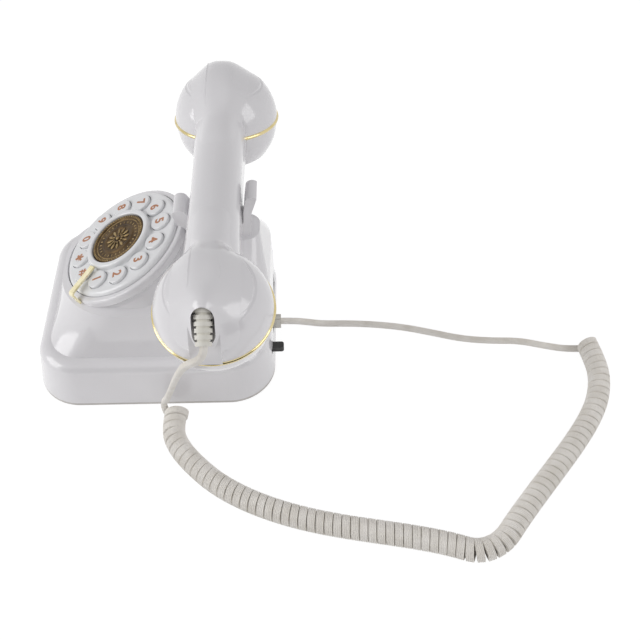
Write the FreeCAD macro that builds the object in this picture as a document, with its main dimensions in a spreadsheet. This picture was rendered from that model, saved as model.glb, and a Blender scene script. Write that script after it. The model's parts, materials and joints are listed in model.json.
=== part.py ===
import FreeCAD, Part
import math
import os
from types import SimpleNamespace

import Sketcher
from FreeCAD import Placement, Rotation, Vector

# A retro desk telephone: X runs along the handset, Y from the front to the rear, Z up.
# Millimetres; the origin is on the table, under the middle of the telephone without its cord.

SIZES = {
    # Base housing
    "base_width": 130.0,
    "base_length": 148.4,
    "base_corner": 28.0,
    "seam_height": 3.0,
    "skirt_height": 33.0,
    "skirt_taper": 9.0,
    "skirt_round": 8.0,
    "wall": 2.5,
    "ledge_side": 12.5,
    "ledge_front": 11.2,
    "rear_step": 1.0,
    "foot_corner": 20.0,
    "waist_corner": 36.0,
    "flare_height": 45.0,
    "flare_inset": 6.0,
    "waist_height": 60.0,
    "waist_inset": 9.5,
    "ridge_height": 90.0,
    "ridge_half": 11.0,
    "ridge_front": 12.0,
    "ridge_rear_inset": 5.0,
    "ridge_corner": 8.0,
    "seam_clearance": 0.3,
    # Bottom plate, feet and ballast
    "foot_radius": 6.5,
    "foot_height": 2.4,
    "plate_lift": 1.2,
    "lip_height": 2.0,
    "lip_thickness": 1.4,
    "foot_inset": 17.0,
    "post_radius": 3.8,
    "screw_radius": 1.5,
    "screw_head_radius": 2.8,
    "screw_length": 12.0,
    "ballast_half": 40.0,
    "ballast_length": 44.0,
    "ballast_height": 4.0,
    "speaker_radius": 15.0,
    "speaker_height": 9.0,
    "standoff_height": 4.0,
    "board_thickness": 1.6,
    "board_half": 37.0,
    "board_length": 44.0,
    # Rear sockets and ringer switch
    "socket_height": 14.0,
    "jack_x": 10.4,
    "jack_width": 11.0,
    "jack_depth": 13.0,
    "plug_width": 6.6,
    "plug_height": 6.2,
    "plug_clearance": 0.15,
    "line_x": -22.0,
    "line_socket_width": 9.6,
    "switch_x": 32.3,
    "switch_reach": 6.0,
    "knob_width": 5.0,
    "knob_height": 4.0,
    "knob_travel": 2.0,
    # Dial
    "dial_tilt": 26.8,
    "dial_y": -19.3,
    "dial_drop": 10.6,
    "dial_radius": 39.4,
    "dial_round": 2.6,
    "dial_thickness": 2.6,
    "bezel_width": 3.4,
    "bezel_drop": 2.6,
    "bezel_band": 4.9,
    "boss_neck": 39.9,
    "boss_depth": 36.0,
    "key_circle": 29.1,
    "key_radius": 6.2,
    "key_gap": 0.4,
    "key_rise": 1.8,
    "key_lip": 0.6,
    "key_lip_height": 1.2,
    "key_travel": 2.0,
    "first_key_angle": 25.5,
    "collar_radius": 22.2,
    "collar_width": 3.6,
    "collar_height": 4.0,
    "medal_height": 3.0,
    "stop_angle": 40.5,
    "stop_width": 4.0,
    "stop_thickness": 1.2,
    "stop_height": 4.4,
    "mat_thickness": 1.0,
    "dome_height": 1.2,
    "pad_radius": 35.4,
    # Cradle and hook switch
    "handset_setback": 27.7,
    "fork_half": 7.7,
    "fork_front": 20.3,
    "fork_rear": 16.8,
    "valley_height": 9.0,
    "valley_clearance": 0.6,
    "tenon_half": 5.5,
    "tenon_depth": 12.0,
    "plunger_radius": 3.5,
    "hook_block_height": 18.0,
    "spring_length": 9.5,
    # Handset
    "capsule_reach": 80.5,
    "capsule_lift": 6.8,
    "capsule_tilt": 11.6,
    "ring_radius": 32.0,
    "ring_height": 1.4,
    "ring_proud": 0.3,
    "dome_rise": 30.0,
    "dome_ledge_radius": 24.2,
    "dome_ledge_rise": 20.6,
    "crown_radius": 22.4,
    "crown_rise": 22.2,
    "cap_depth": 24.8,
    "cap_face_radius": 20.6,
    "shell_wall": 2.4,
    "rib_width": 16.0,
    "rib_proud": 2.7,
    "grip_half": 14.4,
    "grip_end_half": 15.8,
    "grip_lift": 12.0,
    "grip_height": 30.5,
    "grip_stop": 22.5,
    "grip_offset": 2.0,
    "relief_radius": 5.4,
    "relief_tip_radius": 4.2,
    "relief_length": 25.0,
    "relief_slope": 27.5,
    "receiver_radius": 16.5,
    "receiver_height": 9.0,
    "microphone_radius": 4.9,
    "microphone_height": 6.0,
    # Cord
    "cord_diameter": 2.9,
    "curl_radius": 4.9,
    "curl_first_radius": 7.0,
    "curl_count": 80.0,
}

doc = FreeCAD.newDocument("Telephone")
sheet = doc.addObject("Spreadsheet::Sheet", "Sizes")
for row, (alias, number) in enumerate(SIZES.items(), 1):
    sheet.set("A%d" % row, alias)
    sheet.set("B%d" % row, repr(number))
    sheet.setAlias("B%d" % row, alias)
doc.recompute()

NODES = []


class Size:
    """A number with the sheet expression that gives it, so that what is made from it stays bound."""

    def __init__(self, number, text):
        self.number = number
        self.text = text

    def __add__(self, other):
        other = as_size(other)
        return Size(self.number + other.number, "(%s + %s)" % (self.text, other.text))

    def __sub__(self, other):
        other = as_size(other)
        return Size(self.number - other.number, "(%s - %s)" % (self.text, other.text))

    def __mul__(self, other):
        other = as_size(other)
        return Size(self.number * other.number, "(%s * %s)" % (self.text, other.text))

    def __truediv__(self, other):
        other = as_size(other)
        return Size(self.number / other.number, "(%s / %s)" % (self.text, other.text))

    def __neg__(self):
        return Size(-self.number, "(0 - %s)" % self.text)

    def __radd__(self, other):
        return as_size(other) + self

    def __rsub__(self, other):
        return as_size(other) - self

    def __rmul__(self, other):
        return as_size(other) * self

    @property
    def bound(self):
        return "Sizes." in self.text


def as_size(value):
    if isinstance(value, Size):
        return value
    return Size(float(value), "(%r)" % float(value))


def sine(angle):
    return Size(math.sin(math.radians(angle.number)), "sin(%s * 1deg)" % angle.text)


def cosine(angle):
    return Size(math.cos(math.radians(angle.number)), "cos(%s * 1deg)" % angle.text)


def root(square):
    return Size(math.sqrt(square.number), "sqrt(%s)" % square.text)


dim = SimpleNamespace(**{name: Size(sheet.get(name), "Sizes." + name) for name in SIZES})

# Places that several sub-parts share
base_half = dim.base_width / 2
base_front = -(dim.base_length + dim.switch_reach) / 2
base_rear = (dim.base_length - dim.switch_reach) / 2
foot_half = base_half - dim.ledge_side
foot_front = base_front + dim.ledge_front
foot_rear = base_rear - dim.rear_step
handset_y = base_rear - dim.handset_setback
grip_y = handset_y - dim.grip_offset
plate_top = dim.seam_height
board_bottom = plate_top + dim.standoff_height
board_top = board_bottom + dim.board_thickness
board_rear = foot_rear - dim.wall - 1
socket_face = foot_rear - 0.2
dial_z = dim.ridge_height - dim.dial_drop
bezel_radius = dim.dial_radius + 0.4 + dim.bezel_width
key_hole = dim.key_radius + dim.key_gap
key_foot = dim.dial_thickness + 0.1 + dim.key_lip_height
mat_top = key_foot + dim.key_travel + 0.2
mat_bottom = mat_top + dim.dome_height + dim.mat_thickness
valley = dim.ridge_height + dim.valley_height
tenon_bottom = dim.ridge_height - dim.tenon_depth
spring_bottom = tenon_bottom - dim.hook_block_height + 2
spring_top = spring_bottom + dim.spring_length
cap_floor = dim.cap_depth - dim.shell_wall
grip_bottom = dim.ridge_height + dim.grip_lift
grip_reach = dim.capsule_reach - dim.grip_stop
capsule_height = grip_bottom + dim.capsule_lift


# Drawing helpers


def bind(owner, path, size):
    if size.bound:
        owner.setExpression(path, size.text)


def place(owner, x=0, y=0, z=0, axis=Vector(0, 0, 1), angle=0):
    """Put an object at bound coordinates, turned about one axis by a bound, positive angle."""
    x, y, z, angle = (as_size(value) for value in (x, y, z, angle))
    owner.Placement = Placement(Vector(x.number, y.number, z.number), Rotation(axis, angle.number))
    bind(owner, ".Placement.Base.x", x)
    bind(owner, ".Placement.Base.y", y)
    bind(owner, ".Placement.Base.z", z)
    bind(owner, ".Placement.Rotation.Angle", angle)


def new_body(label):
    body = doc.addObject("PartDesign::Body", label)
    body.Label = label
    NODES.append(body)
    return body


def new_sketch(body, name, role="XY_Plane", lift=0, shift=(0, 0), turn=0):
    """A sketch on one of the body's origin planes, lifted along its normal, shifted and turned."""
    lift, x, y, turn = (as_size(value) for value in (lift, shift[0], shift[1], turn))
    way = 1 if turn.number >= 0 else -1
    sketch = body.newObject("Sketcher::SketchObject", name)
    plane = next(item for item in body.Origin.OriginFeatures if item.Role == role)
    sketch.AttachmentSupport = (plane, [""])
    sketch.MapMode = "FlatFace"
    sketch.AttachmentOffset = Placement(
        Vector(x.number, y.number, lift.number), Rotation(Vector(0, 0, way), abs(turn.number)))
    bind(sketch, ".AttachmentOffset.Base.x", x)
    bind(sketch, ".AttachmentOffset.Base.y", y)
    bind(sketch, ".AttachmentOffset.Base.z", lift)
    bind(sketch, ".AttachmentOffset.Rotation.Angle", turn * way)
    return sketch


def locate(sketch, geometry, point, x, y):
    """Fix one point of a sketch by its two distances from the sketch's origin."""
    for kind, size, axis in (("DistanceX", x, -2), ("DistanceY", y, -1)):
        if not size.bound and size.number == 0:
            sketch.addConstraint(Sketcher.Constraint("PointOnObject", geometry, point, axis))
        elif size.number < 0:
            rule = Sketcher.Constraint(kind, geometry, point, -1, 1, -size.number)
            bind(sketch, "Constraints[%d]" % sketch.addConstraint(rule), -size)
        else:
            rule = Sketcher.Constraint(kind, -1, 1, geometry, point, size.number)
            bind(sketch, "Constraints[%d]" % sketch.addConstraint(rule), size)


def arc_middle(start, end, radius, way):
    """The middle of the shorter arc from start to end; way is 1 for an arc that turns left."""
    chord = end - start
    half = chord.Length / 2
    sagitta = radius - math.sqrt(max(radius * radius - half * half, 0))
    side = Vector(chord.y, -chord.x, 0).normalize() * way
    return (start + end) * 0.5 + side * sagitta


def outline(sketch, points, arcs=None):
    """A closed outline through the points; arcs maps a point's number to (radius, way)."""
    arcs = arcs or {}
    points = [(as_size(x), as_size(y)) for x, y in points]
    ends = [Vector(x.number, y.number, 0) for x, y in points]
    starts = []
    finishes = []
    for number, start in enumerate(ends):
        end = ends[(number + 1) % len(ends)]
        if number in arcs:
            radius, way = arcs[number]
            radius = as_size(radius)
            middle = arc_middle(start, end, radius.number, way)
            drawn = Part.Arc(start, middle, end) if way > 0 else Part.Arc(end, middle, start)
            geometry = sketch.addGeometry(drawn, False)
            rule = Sketcher.Constraint("Radius", geometry, radius.number)
            bind(sketch, "Constraints[%d]" % sketch.addConstraint(rule), radius)
            starts.append((geometry, 1 if way > 0 else 2))
            finishes.append((geometry, 2 if way > 0 else 1))
        else:
            geometry = sketch.addGeometry(Part.LineSegment(start, end), False)
            starts.append((geometry, 1))
            finishes.append((geometry, 2))
    for number, (x, y) in enumerate(points):
        sketch.addConstraint(Sketcher.Constraint("Coincident", *finishes[number - 1], *starts[number]))
        locate(sketch, *starts[number], x, y)


def rounded_rectangle(sketch, left, right, low, high, radius):
    left, right, low, high, radius = (as_size(value) for value in (left, right, low, high, radius))
    outline(sketch, [
        (left + radius, low), (right - radius, low), (right, low + radius), (right, high - radius),
        (right - radius, high), (left + radius, high), (left, high - radius), (left, low + radius),
    ], {1: (radius, 1), 3: (radius, 1), 5: (radius, 1), 7: (radius, 1)})


def rectangle(sketch, left, right, low, high):
    outline(sketch, [(left, low), (right, low), (right, high), (left, high)])


def circle(sketch, x, y, radius):
    x, y, radius = (as_size(value) for value in (x, y, radius))
    middle = Vector(x.number, y.number, 0)
    geometry = sketch.addGeometry(Part.Circle(middle, Vector(0, 0, 1), radius.number), False)
    locate(sketch, geometry, 3, x, y)
    rule = Sketcher.Constraint("Radius", geometry, radius.number)
    bind(sketch, "Constraints[%d]" % sketch.addConstraint(rule), radius)


def pad(body, sketch, length, reverse=False, symmetric=False):
    feature = body.newObject("PartDesign::Pad", sketch.Name + "_pad")
    feature.Profile = sketch
    feature.Length = as_size(length).number
    bind(feature, "Length", as_size(length))
    feature.Reversed = reverse
    feature.Midplane = symmetric
    doc.recompute()
    return feature


def pocket(body, sketch, length, reverse=False, symmetric=False):
    """Cut a sketch's outline; the volume shows that the cut goes into the solid."""
    before = body.Shape.Volume
    feature = body.newObject("PartDesign::Pocket", sketch.Name + "_pocket")
    feature.Profile = sketch
    feature.Length = as_size(length).number
    bind(feature, "Length", as_size(length))
    feature.Reversed = reverse
    feature.Midplane = symmetric
    doc.recompute()
    check_cut(body, sketch, before)
    return feature


def check_cut(body, sketch, before):
    if body.Shape.Volume > before - 0.01:
        raise ValueError("%s cuts nothing from %s" % (sketch.Name, body.Label))


def revolve(body, sketch, cut=False):
    before = body.Shape.Volume if cut else 0
    kind = "PartDesign::Groove" if cut else "PartDesign::Revolution"
    feature = body.newObject(kind, sketch.Name + "_turned")
    feature.Profile = sketch
    feature.ReferenceAxis = (sketch, ["V_Axis"])
    feature.Angle = 360
    doc.recompute()
    if cut:
        check_cut(body, sketch, before)
    return feature


def loft(body, sketches, cut=False, ruled=False):
    before = body.Shape.Volume if cut else 0
    kind = "PartDesign::SubtractiveLoft" if cut else "PartDesign::AdditiveLoft"
    feature = body.newObject(kind, sketches[0].Name + "_loft")
    feature.Profile = sketches[0]
    feature.Sections = sketches[1:]
    feature.Ruled = ruled
    doc.recompute()
    if cut:
        check_cut(body, sketches[0], before)
    return feature


def fillet(body, feature, radius, test):
    """Round the edges of the feature whose bounding box and middle pass the test."""
    names = []
    for number, edge in enumerate(feature.Shape.Edges, 1):
        if test(edge.BoundBox, edge.CenterOfMass):
            names.append("Edge%d" % number)
    before = feature.Shape.Volume
    rounding = body.newObject("PartDesign::Fillet", feature.Name + "_round")
    rounding.Base = (feature, names)
    rounding.Radius = as_size(radius).number
    bind(rounding, "Radius", as_size(radius))
    doc.recompute()
    if not 0.9 * before < rounding.Shape.Volume < before or not rounding.Shape.isValid():
        raise ValueError("the rounding of %s went wrong" % feature.Name)
    return rounding


def polar(body, originals, count, axis_sketch, name):
    pattern = body.newObject("PartDesign::PolarPattern", name)
    pattern.Originals = originals
    pattern.Axis = (axis_sketch, ["N_Axis"])
    pattern.Angle = 360
    pattern.Occurrences = count
    body.Tip = pattern
    doc.recompute()
    return pattern


def cylinder(name, radius, height, x=0, y=0, z=0):
    made = doc.addObject("Part::Cylinder", name)
    made.Radius = as_size(radius).number
    made.Height = as_size(height).number
    bind(made, "Radius", as_size(radius))
    bind(made, "Height", as_size(height))
    place(made, x, y, z)
    return made


def box(name, width, length, height, x=0, y=0, z=0):
    """A box centred on x and y that stands on z."""
    width, length, height = (as_size(value) for value in (width, length, height))
    made = doc.addObject("Part::Box", name)
    for path, size in (("Length", width), ("Width", length), ("Height", height)):
        setattr(made, path, size.number)
        bind(made, path, size)
    place(made, as_size(x) - width / 2, as_size(y) - length / 2, z)
    return made


def join(name, pieces):
    made = doc.addObject("Part::MultiFuse", name)
    made.Shapes = pieces
    return made



def group(label, pieces):
    """Identical loose pieces that share one node."""
    made = doc.addObject("Part::Compound", label)
    made.Links = pieces
    return node(label, made)


def node(label, made):
    made.Label = label
    NODES.append(made)
    return made


# Base housing


def housing_section(body, name, height, inset, front_corner, rear_corner, skin=0):
    """An outline of the housing above the skirt, drawn in from the foot and by the skin's thickness."""
    sketch = new_sketch(body, name, lift=height)
    right = foot_half - inset - skin
    low = foot_front + as_size(inset) * 0.95 + skin
    high = foot_rear - skin
    front = front_corner - skin
    rear = rear_corner - skin
    outline(sketch, [
        (front - right, low), (right - front, low), (right, low + front), (right, high - rear),
        (right - rear, high), (rear - right, high), (-right, high - rear), (-right, low + front),
    ], {1: (front, 1), 3: (rear, 1), 5: (rear, 1), 7: (front, 1)})
    return sketch


def housing_sections(body, name, skin):
    """The foot, the flare and the waist of the housing, or of the room inside it."""
    return [
        housing_section(body, name + "_foot", dim.skirt_height - skin, 0, dim.foot_corner, dim.foot_corner, skin),
        housing_section(body, name + "_flare", dim.flare_height - skin, dim.flare_inset, flare_corner(),
                        dim.foot_corner, skin),
        waist_section(body, name + "_waist", skin),
    ]


def waist_section(body, name, skin):
    return housing_section(body, name, dim.waist_height - skin, dim.waist_inset, dim.waist_corner,
                           dim.foot_corner + 2, skin)


def flare_corner():
    return (dim.foot_corner + dim.waist_corner) / 2


def skirt_inset():
    """How far the skirt's taper draws its top in."""
    return (dim.skirt_height - dim.seam_height) * sine(dim.skirt_taper) / cosine(dim.skirt_taper)


def skirt_section(body, name, height, inset):
    sketch = new_sketch(body, name, lift=height)
    rounded_rectangle(sketch, -(base_half - inset), base_half - inset, base_front + inset,
                      base_rear - inset, dim.base_corner - inset)
    return sketch


def ridge_section(body, name, height, inset):
    sketch = new_sketch(body, name, lift=height)
    half = dim.ridge_half - inset
    rounded_rectangle(sketch, -half, half, dim.ridge_front + inset,
                      foot_rear - dim.ridge_rear_inset - inset, dim.ridge_corner - inset)
    return sketch


def post_places():
    """The four screw posts, inside the skirt's corners."""
    side = base_half - skirt_inset() - dim.wall - dim.post_radius - 4.5
    front = base_front + dim.base_corner * 1.3
    rear = base_rear - dim.base_corner * 0.95
    return [(way * side, y) for y in (front, rear) for way in (-1, 1)]


def make_base_shell():
    body = new_body("base_shell")
    outer = new_sketch(body, "skirt", lift=dim.seam_height)
    rounded_rectangle(outer, -base_half, base_half, base_front, base_rear, dim.base_corner)
    skirt = pad(body, outer, dim.skirt_height - dim.seam_height)
    skirt.TaperAngle = -dim.skirt_taper.number
    bind(skirt, "TaperAngle", -dim.skirt_taper)
    doc.recompute()
    top = dim.skirt_height.number
    fillet(body, skirt, dim.skirt_round, lambda bounds, middle: bounds.ZMin > top - 0.01)
    foot = housing_section(body, "plinth", dim.seam_height + 6, 0, dim.foot_corner, dim.foot_corner)
    pad(body, foot, dim.skirt_height - dim.seam_height - 6)
    loft(body, housing_sections(body, "mound", as_size(0)))
    loft(body, [waist_section(body, "roof_low", as_size(0)),
                ridge_section(body, "roof_high", dim.ridge_height, as_size(0))], ruled=True)
    boss = new_sketch(body, "dial_boss", "YZ_Plane", 0, (dim.dial_y, dial_z), dim.dial_tilt)
    rim_low = dim.bezel_drop + dim.bezel_band
    edge = as_size(1.8)
    outline(boss, [
        (0, -dim.boss_depth), (dim.boss_neck, -dim.boss_depth), (dim.boss_neck, -(rim_low + 6)),
        (bezel_radius, -rim_low), (bezel_radius, -(dim.bezel_drop + edge)),
        (bezel_radius - edge, -dim.bezel_drop), (0, -dim.bezel_drop),
    ], {2: (9, -1), 4: (edge, 1)})
    revolve(body, boss)
    hollow_base_shell(body)
    add_base_details(body)


def hollow_base_shell(body):
    skin = dim.wall
    loft(body, [
        skirt_section(body, "skirt_room_low", dim.seam_height - 1, skin),
        skirt_section(body, "skirt_room_high", dim.skirt_height - skin,
                      skirt_inset() + skin + dim.skirt_round * 0.4),
    ], cut=True, ruled=True)
    rear_room = housing_section(body, "rear_room", dim.seam_height - 1, 0, dim.foot_corner, dim.foot_corner, skin)
    pocket(body, rear_room, dim.skirt_height - skin - dim.seam_height + 1, reverse=True)
    loft(body, housing_sections(body, "mound_room", skin), cut=True)
    loft(body, [waist_section(body, "roof_room_low", skin + 0.2),
                ridge_section(body, "roof_room_high", dim.ridge_height - skin, skin)], cut=True, ruled=True)
    room = new_sketch(body, "dial_room", "YZ_Plane", 0, (dim.dial_y, dial_z), dim.dial_tilt)
    seat = dim.dial_thickness + dim.dial_round
    outline(room, [
        (0, -(dim.boss_depth + 2)), (dim.boss_neck - 3, -(dim.boss_depth + 2)), (dim.boss_neck - 3, -seat),
        (dim.dial_radius + 0.4, -seat), (dim.dial_radius + 0.4, 1), (0, 1),
    ])
    revolve(body, room, cut=True)


def add_base_details(body):
    posts = new_sketch(body, "screw_posts", lift=plate_top)
    bores = new_sketch(body, "post_bores", lift=plate_top)
    for x, y in post_places():
        circle(posts, x, y, dim.post_radius)
        circle(bores, x, y, dim.screw_radius + 0.05)
    pad(body, posts, dim.skirt_height - dim.wall - plate_top + 0.5)
    pocket(body, bores, dim.screw_length + 2, reverse=True)
    tenon_slot = new_sketch(body, "tenon_slot", lift=dim.ridge_height + 1)
    gap = dim.seam_clearance
    rounded_rectangle(tenon_slot, -(dim.tenon_half + gap), dim.tenon_half + gap,
                      tenon_front() - gap, tenon_rear() + gap, 1)
    pocket(body, tenon_slot, dim.wall + 3)
    openings = new_sketch(body, "rear_openings", "XZ_Plane", lift=-(base_rear + 2))
    for x, width in ((dim.jack_x, dim.jack_width), (dim.line_x, dim.jack_width + 2)):
        half = width / 2 + gap
        rectangle(openings, x - half, x + half, board_top - gap, board_top + jack_height() + gap)
    reach = dim.knob_width / 2 + dim.knob_travel + 0.4
    rise = dim.knob_height / 2 + 0.4
    rectangle(openings, dim.switch_x - reach, dim.switch_x + reach, knob_z() - rise, knob_z() + rise)
    pocket(body, openings, dim.wall + 4, reverse=True)


def jack_height():
    return (dim.socket_height - board_top) * 2


def knob_z():
    return dim.socket_height + 1


def tenon_front():
    return grip_y - dim.grip_half


def tenon_rear():
    return grip_y + dim.grip_half


# Bottom plate and what stands on it


def foot_places():
    side = base_half - dim.foot_inset
    return [(way * side, y) for y in (base_front + dim.foot_inset, base_rear - dim.foot_inset)
            for way in (-1, 1)]


def standoff_places():
    side = dim.board_half - 5
    return [(way * side, y) for y in (board_rear - dim.board_length + 5, board_rear - 20) for way in (-1, 1)]


def make_bottom_plate():
    body = new_body("bottom_plate")
    plate = new_sketch(body, "plate", lift=dim.plate_lift)
    rounded_rectangle(plate, -base_half, base_half, base_front, base_rear, dim.base_corner)
    pad(body, plate, plate_top - dim.plate_lift)
    lip = new_sketch(body, "lip", lift=plate_top)
    for inset in (dim.wall + dim.seam_clearance, dim.wall + dim.seam_clearance + dim.lip_thickness):
        inset = inset + 0.9
        rounded_rectangle(lip, -(base_half - inset), base_half - inset, base_front + inset,
                          base_rear - inset, dim.base_corner - inset)
    pad(body, lip, dim.lip_height)
    standoffs = new_sketch(body, "standoffs", lift=plate_top)
    for x, y in standoff_places():
        circle(standoffs, x, y, 3.2)
    pad(body, standoffs, dim.standoff_height)
    recesses = new_sketch(body, "foot_recesses", lift=dim.plate_lift)
    for x, y in foot_places():
        circle(recesses, x, y, dim.foot_radius + 0.1)
    pocket(body, recesses, dim.foot_height - dim.plate_lift, reverse=True)
    heads = new_sketch(body, "head_recesses", lift=dim.plate_lift)
    holes = new_sketch(body, "screw_holes", lift=dim.plate_lift)
    for x, y in post_places():
        circle(heads, x, y, dim.screw_head_radius + 0.3)
        circle(holes, x, y, dim.screw_radius + 0.3)
    pocket(body, heads, 1, reverse=True)
    pocket(body, holes, plate_top - dim.plate_lift + 1, reverse=True)
    pilots = new_sketch(body, "board_pilots", lift=plate_top + dim.standoff_height)
    for x, y in standoff_places():
        circle(pilots, x, y, 1.25)
    pocket(body, pilots, dim.standoff_height - 1)
    sound = new_sketch(body, "sound_hole", lift=dim.plate_lift)
    circle(sound, dim.speaker_radius * 0.55, 0, 1.2)
    hole = pocket(body, sound, plate_top - dim.plate_lift + 1, reverse=True)
    polar(body, [hole], 8, sound, "sound_holes")


def make_rubber_feet():
    group("rubber_feet", [cylinder("foot", dim.foot_radius, dim.foot_height, x, y, 0)
                          for x, y in foot_places()])


def screw(name, radius, head_radius, length, head_height, x, y, z, head_up):
    """A plain screw: the head's bearing face is at z, the shank runs up or down from it."""
    length, head_height, z = (as_size(value) for value in (length, head_height, z))
    shank = cylinder(name + "_shank", radius, length + 0.2, x, y, z - (length if head_up else 0.2))
    head = cylinder(name + "_head", head_radius, head_height, x, y, z - (0 if head_up else head_height))
    return join(name, [shank, head])


def make_bottom_screws():
    group("bottom_screws", [
        screw("bottom_screw", dim.screw_radius, dim.screw_head_radius, dim.screw_length, 0.9,
              x, y, dim.plate_lift + 1, False)
        for x, y in post_places()])


def make_ballast():
    front = base_front + dim.wall + dim.lip_thickness + 12
    node("ballast_plate", box("ballast", dim.ballast_half * 2, dim.ballast_length, dim.ballast_height,
                              0, front + dim.ballast_length / 2, plate_top))


def make_speaker():
    body = new_body("ringer_speaker")
    profile = new_sketch(body, "speaker_profile", "XZ_Plane")
    radius = dim.speaker_radius
    height = dim.speaker_height
    outline(profile, [(0, 0), (radius, 0), (radius, 2), (radius * 0.6, height * 0.6),
                      (radius * 0.6, height), (0, height)])
    revolve(body, profile)
    place(body, 0, 0, plate_top)


def make_board():
    body = new_body("main_board")
    board = new_sketch(body, "board", lift=board_bottom)
    rectangle(board, -dim.board_half, dim.board_half, board_rear - dim.board_length, board_rear)
    pad(body, board, dim.board_thickness)
    holes = new_sketch(body, "board_holes", lift=board_top)
    for x, y in standoff_places():
        circle(holes, x, y, 1.5)
    pocket(body, holes, dim.board_thickness + 1)
    parts = new_sketch(body, "board_parts", lift=board_top)
    rear = board_rear - dim.board_length
    rectangle(parts, -12, 2, rear + 8, rear + 14)
    rectangle(parts, 10, 20, rear + 6, rear + 16)
    circle(parts, -22, rear + 12, 4)
    pad(body, parts, 5)
    group("board_screws", [
        screw("board_screw", 1.2, 2.4, dim.board_thickness + 2, 1.4, x, y, board_top, True)
        for x, y in standoff_places()])


def make_jack(label, x, width, socket_width, socket_height):
    """A socket block on the board, open to the rear, with a step for the plug's latch."""
    body = new_body(label)
    block = new_sketch(body, label + "_block", lift=board_top)
    half = width / 2
    rectangle(block, -half, half, socket_face - dim.jack_depth, socket_face)
    pad(body, block, jack_height())
    opening = new_sketch(body, label + "_opening", "XZ_Plane", lift=-(socket_face + 1))
    inner = as_size(socket_width) / 2
    rise = as_size(socket_height) / 2
    latch = inner * 0.45
    middle = dim.socket_height
    outline(opening, [
        (-inner, middle - rise), (inner, middle - rise), (inner, middle + rise), (latch, middle + rise),
        (latch, middle + rise + 0.8), (-latch, middle + rise + 0.8), (-latch, middle + rise),
        (-inner, middle + rise)])
    pocket(body, opening, dim.jack_depth - 2, reverse=True)
    place(body, x, 0, 0)


def make_rear_sockets():
    gap = dim.plug_clearance * 2
    make_jack("handset_jack", dim.jack_x, dim.jack_width, dim.plug_width + gap, dim.plug_height + gap)
    make_jack("line_jack", dim.line_x, dim.jack_width + 2, dim.line_socket_width, dim.plug_height + gap)
    body = new_body("cord_plug")
    plug = new_sketch(body, "plug", "XZ_Plane", lift=-plug_rear())
    half = dim.plug_width / 2
    rise = dim.plug_height / 2
    rectangle(plug, -half, half, dim.socket_height - rise, dim.socket_height + rise)
    pad(body, plug, plug_rear() - socket_face + dim.jack_depth - 3.2)
    latch = new_sketch(body, "latch", "XZ_Plane", lift=-(plug_rear() - 0.5))
    tongue = half * 0.4
    rectangle(latch, -tongue, tongue, dim.socket_height + rise - 0.2, dim.socket_height + rise + 0.6)
    pad(body, latch, dim.jack_depth - 5)
    place(body, dim.jack_x, 0, 0)


def plug_rear():
    """The plug's outer end, where the cord meets it."""
    return base_rear + 4


def make_ringer_switch():
    body = new_body("switch_body")
    inside = foot_rear - dim.wall - 2.2
    block = new_sketch(body, "switch_block", lift=board_top)
    half = dim.knob_width / 2 + dim.knob_travel + 1.6
    rectangle(block, -half, half, inside - 7, inside)
    rise = dim.knob_height / 2
    pad(body, block, knob_z() + rise + 2 - board_top)
    track = new_sketch(body, "switch_track", "XZ_Plane", lift=-(inside + 1))
    reach = dim.knob_width / 2 + dim.knob_travel + 0.3
    rectangle(track, -reach, reach, knob_z() - rise - 0.3, knob_z() + rise + 0.3)
    pocket(body, track, 5, reverse=True)
    place(body, dim.switch_x, 0, 0)
    knob = new_body("switch_knob")
    grip = new_sketch(knob, "knob", lift=knob_z() - rise)
    wide = dim.knob_width / 2
    tip = base_rear + dim.switch_reach
    outline(grip, [(-wide, inside - 3.6), (wide, inside - 3.6), (wide, tip - 1.5), (wide - 1.5, tip),
                   (-(wide - 1.5), tip), (-wide, tip - 1.5)], {2: (1.5, 1), 4: (1.5, 1)})
    pad(knob, grip, dim.knob_height)
    place(knob, dim.switch_x, 0, 0)


# Dial


def on_dial(body):
    place(body, 0, dim.dial_y, dial_z, Vector(1, 0, 0), dim.dial_tilt)


def key_angles():
    return [as_size(30 * number) - dim.first_key_angle for number in range(12)]


def make_dial_plate():
    body = new_body("dial_plate")
    profile = new_sketch(body, "dial_profile", "XZ_Plane")
    flat = dim.dial_radius - dim.dial_round
    inner = dim.collar_radius - dim.collar_width
    outline(profile, [
        (0, -dim.dial_thickness), (flat - 0.5, -dim.dial_thickness),
        (flat - 0.5, -(dim.dial_thickness + dim.dial_round)),
        (dim.dial_radius, -(dim.dial_thickness + dim.dial_round)), (dim.dial_radius, -dim.dial_round), (flat, 0),
        (dim.collar_radius + 0.8, 0), (dim.collar_radius, 0.8), (dim.collar_radius, dim.collar_height - 1.4),
        (dim.collar_radius - 1.4, dim.collar_height), (inner + 1, dim.collar_height),
        (inner, dim.collar_height - 1), (inner, 0), (0, 0),
    ], {4: (dim.dial_round, 1), 6: (0.8, -1), 8: (1.4, 1), 10: (1, 1)})
    revolve(body, profile)
    holes = new_sketch(body, "key_holes", lift=1)
    for angle in key_angles():
        circle(holes, dim.key_circle * cosine(angle), dim.key_circle * sine(angle), key_hole)
    pocket(body, holes, dim.dial_thickness + 2)
    posts = new_sketch(body, "dial_posts", lift=-dim.dial_thickness)
    for x, y in dial_post_places():
        circle(posts, x, y, 2.6)
    pad(body, posts, mat_bottom - dim.dial_thickness, reverse=True)
    pilots = new_sketch(body, "dial_pilots", lift=-mat_bottom)
    for x, y in dial_post_places():
        circle(pilots, x, y, 1.05)
    pocket(body, pilots, 4, reverse=True)
    on_dial(body)


def dial_post_places():
    reach = dim.collar_radius * 0.5
    return [(x * reach, y * reach) for x, y in ((1, 1), (-1, 1), (-1, -1), (1, -1))]


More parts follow.
